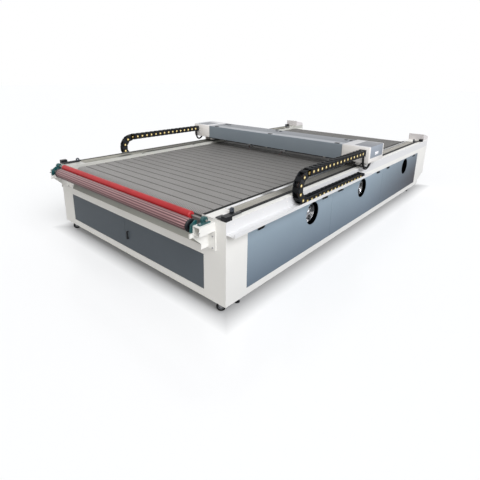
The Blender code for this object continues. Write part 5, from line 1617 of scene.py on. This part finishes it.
    def head(self, index: int) -> None:
        """A laser head with a red pointer by its nozzle: a black body, its beam painted as a red rod."""
        low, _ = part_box(f"laser_head_{index}")
        refined(f"laser_head_{index}", ZINC, "heads", 0.001)
        from_x, from_y, to_x, to_y = self.pointers[index - 1]
        top, tip = self.pointer_z
        start, end = np.array([(low.x + from_x, from_y, top), (low.x + to_x, to_y, tip)])
        line = start + np.linspace(0, 1, 4)[:, None] * (end - start)
        # The pointer's beam, painted light as a thin red rod.
        form = Form().loft(tube(line, self.pointer_radius, 8))
        form.block(start - (0.009, 0.009, 0.004), start + (0.009, 0.009, 0.014), 0.003, finish=1)
        form.piece(f"pointer_{index}", "heads", POINTER_BEAM, BLACK)


@dataclass
class FeedUnit:
    """The feed unit: arms, bearings, the red press roller and the striped feed roller."""

    flutes: int = 15
    flute_points: int = 12
    flute_depth: float = 0.0022
    sleeve_lip: float = 0.0025
    sleeve_chamfer: tuple = (0.003, 0.004)
    sleeve_end: float = 0.0514
    left_setback: float = 0.125
    ring_gap: float = 0.006
    ring_width: float = 0.016
    shaft: float = 0.010
    press_end: float = 0.187
    press_lip: float = 0.010
    bolt: float = 0.0075
    bolt_height: float = 0.006
    post_bolts: tuple = ((1.358, 0.750), (1.284, 0.642), (1.358, 0.644))
    plate_face: float = 0.0123
    arm_bolt: tuple = (1.376, 0.030, 0.838)

    def build(self) -> None:
        """Builds the rollers and dresses arms and bearings on both sides."""
        self.press_roller()
        self.feed_roller()
        for side in Side:
            label = side.label
            refined(f"feeder_arm_{label}", CREAM, ROOT, 0.0010)
            refined(f"pillow_block_{label}", TEAL, ROOT, 0.0016)
            refined(f"flange_bearing_{label}", TEAL, ROOT, 0.0012)
            self.bolts(side)

    def press_roller(self) -> None:
        """The press roller: a rubber sleeve with stepped ends on a bright shaft."""
        low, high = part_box("press_roller")
        radius, end, lip = (high.z - low.z) / 2, high.x - self.press_end, self.press_lip
        centre = (0, (low.y + high.y) / 2, (low.z + high.z) / 2)
        half = [(radius * 0.34, end), (radius * 0.66, end), (radius * 0.74, end - 0.001)]
        half += [(radius, end - lip), (radius, end - 3 * lip)]
        stations = [(radius, x) for x in np.linspace(-1, 1, 9)]
        form = Form().loft(revolved(mirrored(half, stations), "X", centre, 64))
        half = [(0.002, high.x), (self.shaft - 0.0015, high.x), (self.shaft, high.x - 0.0015)]
        form.loft(revolved(mirrored(half), "X", centre, 24), finish=1)
        item = form.piece("press_roller_sleeve", "press_roller", RED, SHAFT, crease=30)
        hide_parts("press_roller")

    def feed_roller(self) -> None:
        """The feed roller: its section is a circle with a shallow groove between strips.

        The radius at angle a is the sleeve's radius less a depth times a narrow bump that repeats
        with each strip.  A black ring stands off either end on a bare shaft.
        """
        low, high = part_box("feed_roller")
        outer = (high.z - low.z) / 2
        radius = outer - self.sleeve_lip
        centre = np.array((0, (low.y + high.y) / 2, (low.z + high.z) / 2))
        segments = self.flutes * self.flute_points
        turn = np.arange(segments) * math.tau / segments
        half = self.flute_points // 2
        phase = (np.arange(segments) + half) % self.flute_points - half
        groove = self.flute_depth * np.exp(-((phase / 1.1) ** 2))
        right = high.x - self.sleeve_end
        left = self.left_setback - right
        length, fall = self.sleeve_chamfer
        stations = np.array([left, left + length, *np.linspace(-1, 1, 7), right - length, right])
        drawn = np.array([fall, 0, *np.zeros(7), 0, fall])
        reach = radius - groove - drawn[:, None]
        across = np.broadcast_to(stations[:, None], reach.shape)
        spread = centre[1] + reach * np.cos(turn), centre[2] + reach * np.sin(turn)
        form = Form().loft(np.stack([across, *spread], -1))
        for sign, face in ((-1, -left), (1, right)):
            neck, disc = face + self.ring_gap, face + self.ring_gap + self.ring_width
            lip = outer - 0.003
            ring = [(0.040, face - 0.001), (0.040, neck), (lip, neck), (outer, neck + 0.003)]
            ring += [(outer, disc - 0.003), (lip, disc), (0.030, disc)]
            ring += [(0.030, disc - 0.006), (0.011, disc - 0.006)]
            form.loft(revolved(np.array(ring) * (1, sign), "X", centre, 56), finish=1)
            shaft = [(self.shaft, disc - 0.007), (self.shaft, high.x - 0.001), (0.002, high.x)]
            form.loft(revolved(np.array(shaft) * (1, sign), "X", centre, 24), finish=2)
        item = form.piece("feed_roller_sleeve", "feed_roller", STRIPED, BLACK, SHAFT, crease=50)
        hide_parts("feed_roller")

    def bolts(self, side: Side) -> None:
        """Bolts of the post plate, the pillow block and the arm."""
        sign, label = side.value, side.label
        low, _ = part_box(f"feeder_arm_{label}")
        block_low, block_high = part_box(f"pillow_block_{label}")
        middle = (block_low.x + block_high.x) / 2
        posts = [(sign * x, FRONT_END - self.plate_face, z) for x, z in self.post_bolts]
        ends = (block_low.y + 0.014, block_high.y - 0.014)
        feet = [(middle, y, block_low.z + 0.012) for y in ends]
        x, y, z = self.arm_bolt
        form = Form()
        for axis, way, height, sides, spots in (
            ("Y", -1, self.bolt_height, 14, posts),
            ("Z", 1, self.bolt_height, 6, feet),
            ("X", sign, self.bolt_height - 0.001, 14, [(sign * x, low.y + y, z)]),
        ):
            form.loft(copies(screw_heads(axis, way, self.bolt, height, sides), spots))
        form.piece(f"feed_bolts_{label}", ROOT, ZINC)


@dataclass
class Undercarriage:
    """Casters and levelling feet at one corner."""

    corner: Corner
    tyre_radius: float = 0.045
    half_width: float = 0.014
    tread_edge: float = 0.006

    def build(self) -> None:
        """Dresses the foot and the fork and turns the wheel."""
        label = self.corner.label
        refined(f"levelling_foot_{label}", BLACK, ROOT, 0.0006)
        refined(f"caster_fork_{label}", ZINC, f"fork_{label}", 0.0006)
        self.wheel(label)

    def wheel(self, label: str) -> None:
        """A rubber tyre with a crowned tread round a grey hub.

        The profile is turned about Z at the origin, then laid along the axle at its place.
        """
        joint = next(j for j in frame["joints"] if j["name"] == f"caster_{label}_roll")
        axle, centre = (np.array(joint[key], float) for key in ("axis", "pos_m"))
        half, edge = self.half_width, self.tread_edge
        tread = arc((self.tyre_radius - edge, half - edge), edge, 0, 90, 4)
        tyre = [*tread, (0.031, half), (0.029, half - 0.002)]
        hub = [(0.0285, half - 0.003), (0.020, half - 0.006), (0.013, half - 0.005)]
        hub += [(0.011, half), (0.0068, half), (0.0068, half - 0.010)]
        turn = np.stack([(0, 0, 1), (-axle[1], axle[0], 0), axle])
        form = Form()
        for index, profile in enumerate((tyre, hub)):
            rings = revolved(mirrored(profile[::-1]), "Z", (0, 0, 0), 40)
            form.loft(rings @ turn + centre, wrapped=True, finish=index)
        item = form.piece(f"caster_tyre_{label}", f"wheel_{label}", RUBBER, HUB)
        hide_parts(f"caster_wheel_{label}")


@dataclass
class Studio:
    """Floor, lamps, white surroundings and the camera."""

    eye: tuple = (3.398, -4.746, 2.071)
    azimuth: float = 41.47
    pitch: float = 16.26
    roll: float = 0.70
    lens: float = 27.84
    shift: tuple = (0.0119, -0.1208)
    far: float = 200.0
    floor_reach: float = 60.0
    floor_grey: tuple = (0.38, 0.38, 0.38, 1)
    floor_pale: tuple = (0.46, 0.462, 0.464, 1)
    floor_glow: tuple = ((0.05, 0.05, 0.051, 1), (0.478, 0.482, 0.486, 1))
    floor_fade: tuple = (-0.06, 0.16)
    sheen: tuple = (0.045, 0.045, 0.045, 1)
    sheen_roughness: float = 0.22
    world_light: float = 0.40

    def build(self) -> None:
        """Makes the studio."""
        self.floor()
        self.lamp("key_lamp", -12, 38, 2.75, 40, (0.985, 0.995, 1.02))
        self.lamp("fill_lamp", -80, 20, 0.80, 60, (1.03, 1.0, 0.95))
        self.surroundings()
        self.camera()
        bpy.context.scene.view_settings.view_transform = "Standard"

    def floor(self) -> None:
        """A pale floor with a soft sheen, and a painted shadow under the machine.

        The camera sees a diffuse part, a sheen and a glow.  The glow is dim under the machine, a
        painted shadow, and grows with the distance outside the base frame's box, the greater of the
        distances across and along.  Other rays see a plain grey.
        """
        mesh, reach = bpy.data.meshes.new("floor"), self.floor_reach
        corners = [(-reach, -reach, 0), (reach, -reach, 0), (reach, reach, 0), (-reach, reach, 0)]
        mesh.from_pydata(corners, [], [(0, 1, 2, 3)])
        item = placed("floor", mesh)
        graph = Graph("pale_floor")
        graph.feed("Base Color", self.floor_grey)
        graph.feed("Roughness", 0.5)
        graph.feed("Specular IOR Level", 0.0)
        plain = Wire(graph, graph.shader.outputs[0])
        low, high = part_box("base_frame")
        x, y, _ = graph.axes()
        across = abs(x) - high.x
        along = abs(y - (low.y + high.y) / 2) - (high.y - low.y) / 2
        # Painted shadow: the glow is dim inside the frame's footprint and full outside it.
        outside_shadow = across.math("MAXIMUM", across, along).ramp(*self.floor_fade)
        glow = {"Color": graph.mix(outside_shadow, *self.floor_glow), "Strength": 1.0}
        sheen = {"Color": self.sheen, "Roughness": self.sheen_roughness}
        pale = graph.node("ShaderNodeBsdfDiffuse", {}, {"Color": self.floor_pale})
        glow = graph.node("ShaderNodeEmission", {}, glow)
        sheen = graph.node("ShaderNodeBsdfAnisotropic", {}, sheen)
        lit = graph.node("ShaderNodeAddShader", {}, (glow, sheen))
        lit = graph.node("ShaderNodeAddShader", {}, (pale, lit))
        seen = graph.node("ShaderNodeLightPath", {}, (), "Is Camera Ray")
        blend = graph.node("ShaderNodeMixShader", {}, (seen, plain, lit))
        graph.tree.links.new(blend.socket, graph.tree.nodes["Material Output"].inputs["Surface"])
        mesh.materials.append(graph.material)

    def lamp(
        self, name: str, heading: float, height: float, strength: float, spread: float, tint: tuple
    ) -> None:
        """A broad lamp far away.

        Args:
            name: The lamp's name.
            heading: Direction that it stands in, in degrees from +X towards +Y.
            height: Its angle above the floor in degrees.
            strength: Light on a facing surface.
            spread: Width of the lamp as an angle in degrees.
            tint: Its colour.
        """
        data = bpy.data.lights.new(name, "SUN")
        data.energy = strength
        data.color = tint
        data.angle = math.radians(spread)
        item = placed(name, data)
        turn, lift = math.radians(heading), math.radians(height)
        level = math.cos(lift)
        back = Vector((math.cos(turn) * level, math.sin(turn) * level, math.sin(lift)))
        item.rotation_euler = back.to_track_quat("Z", "Y").to_euler()
        item.location = back * 10

    def surroundings(self) -> None:
        """An even grey world that looks white to the camera and in reflections."""
        world = bpy.data.worlds.new("white_surroundings")
        world.use_nodes = True
        bpy.context.scene.world = world
        tree = world.node_tree
        back = tree.nodes["Background"]
        back.inputs["Color"].default_value = (1, 1, 1, 1)
        path = tree.nodes.new("ShaderNodeLightPath")
        mix = tree.nodes.new("ShaderNodeMapRange")
        seen = tree.nodes.new("ShaderNodeMath")
        seen.operation = "MAXIMUM"
        mix.inputs["To Min"].default_value = self.world_light
        mix.inputs["To Max"].default_value = 1.0
        for start, end in (
            (path.outputs["Is Camera Ray"], seen.inputs[0]),
            (path.outputs["Is Glossy Ray"], seen.inputs[1]),
            (seen.outputs[0], mix.inputs["Value"]),
            (mix.outputs[0], back.inputs["Strength"]),
        ):
            tree.links.new(start, end)

    def camera(self) -> None:
        """The camera at the photograph's place."""
        data = bpy.data.cameras.new("camera")
        data.lens = self.lens
        data.sensor_width = 36.0
        data.shift_x, data.shift_y = self.shift
        data.clip_end = self.far
        item = placed("camera", data)
        turn, drop, tilt = (math.radians(v) for v in (self.azimuth, self.pitch, self.roll))
        level = math.cos(drop)
        back = Vector((math.sin(turn) * level, -math.cos(turn) * level, math.sin(drop)))
        right = Vector((math.cos(turn), math.sin(turn), 0))
        up = back.cross(right)
        across = right * math.cos(tilt) + up * math.sin(tilt)
        upward = up * math.cos(tilt) - right * math.sin(tilt)
        facing = Matrix((across, upward, back)).transposed().to_4x4()
        item.matrix_world = Matrix.Translation(self.eye) @ facing
        bpy.context.scene.camera = item


def main() -> None:
    """Builds the studio and the machine's pieces in order."""
    logging.basicConfig(level=logging.INFO, format="%(name)s %(message)s")
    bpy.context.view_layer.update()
    Studio().build()
    Cabinet().build()
    Conveyor().build()
    for side in Side:
        Guides(side).build()
        Chain(side).build()
    Gantry().build()
    FeedUnit().build()
    for corner in Corner:
        Undercarriage(corner).build()


if __name__ == "__main__":
    main()
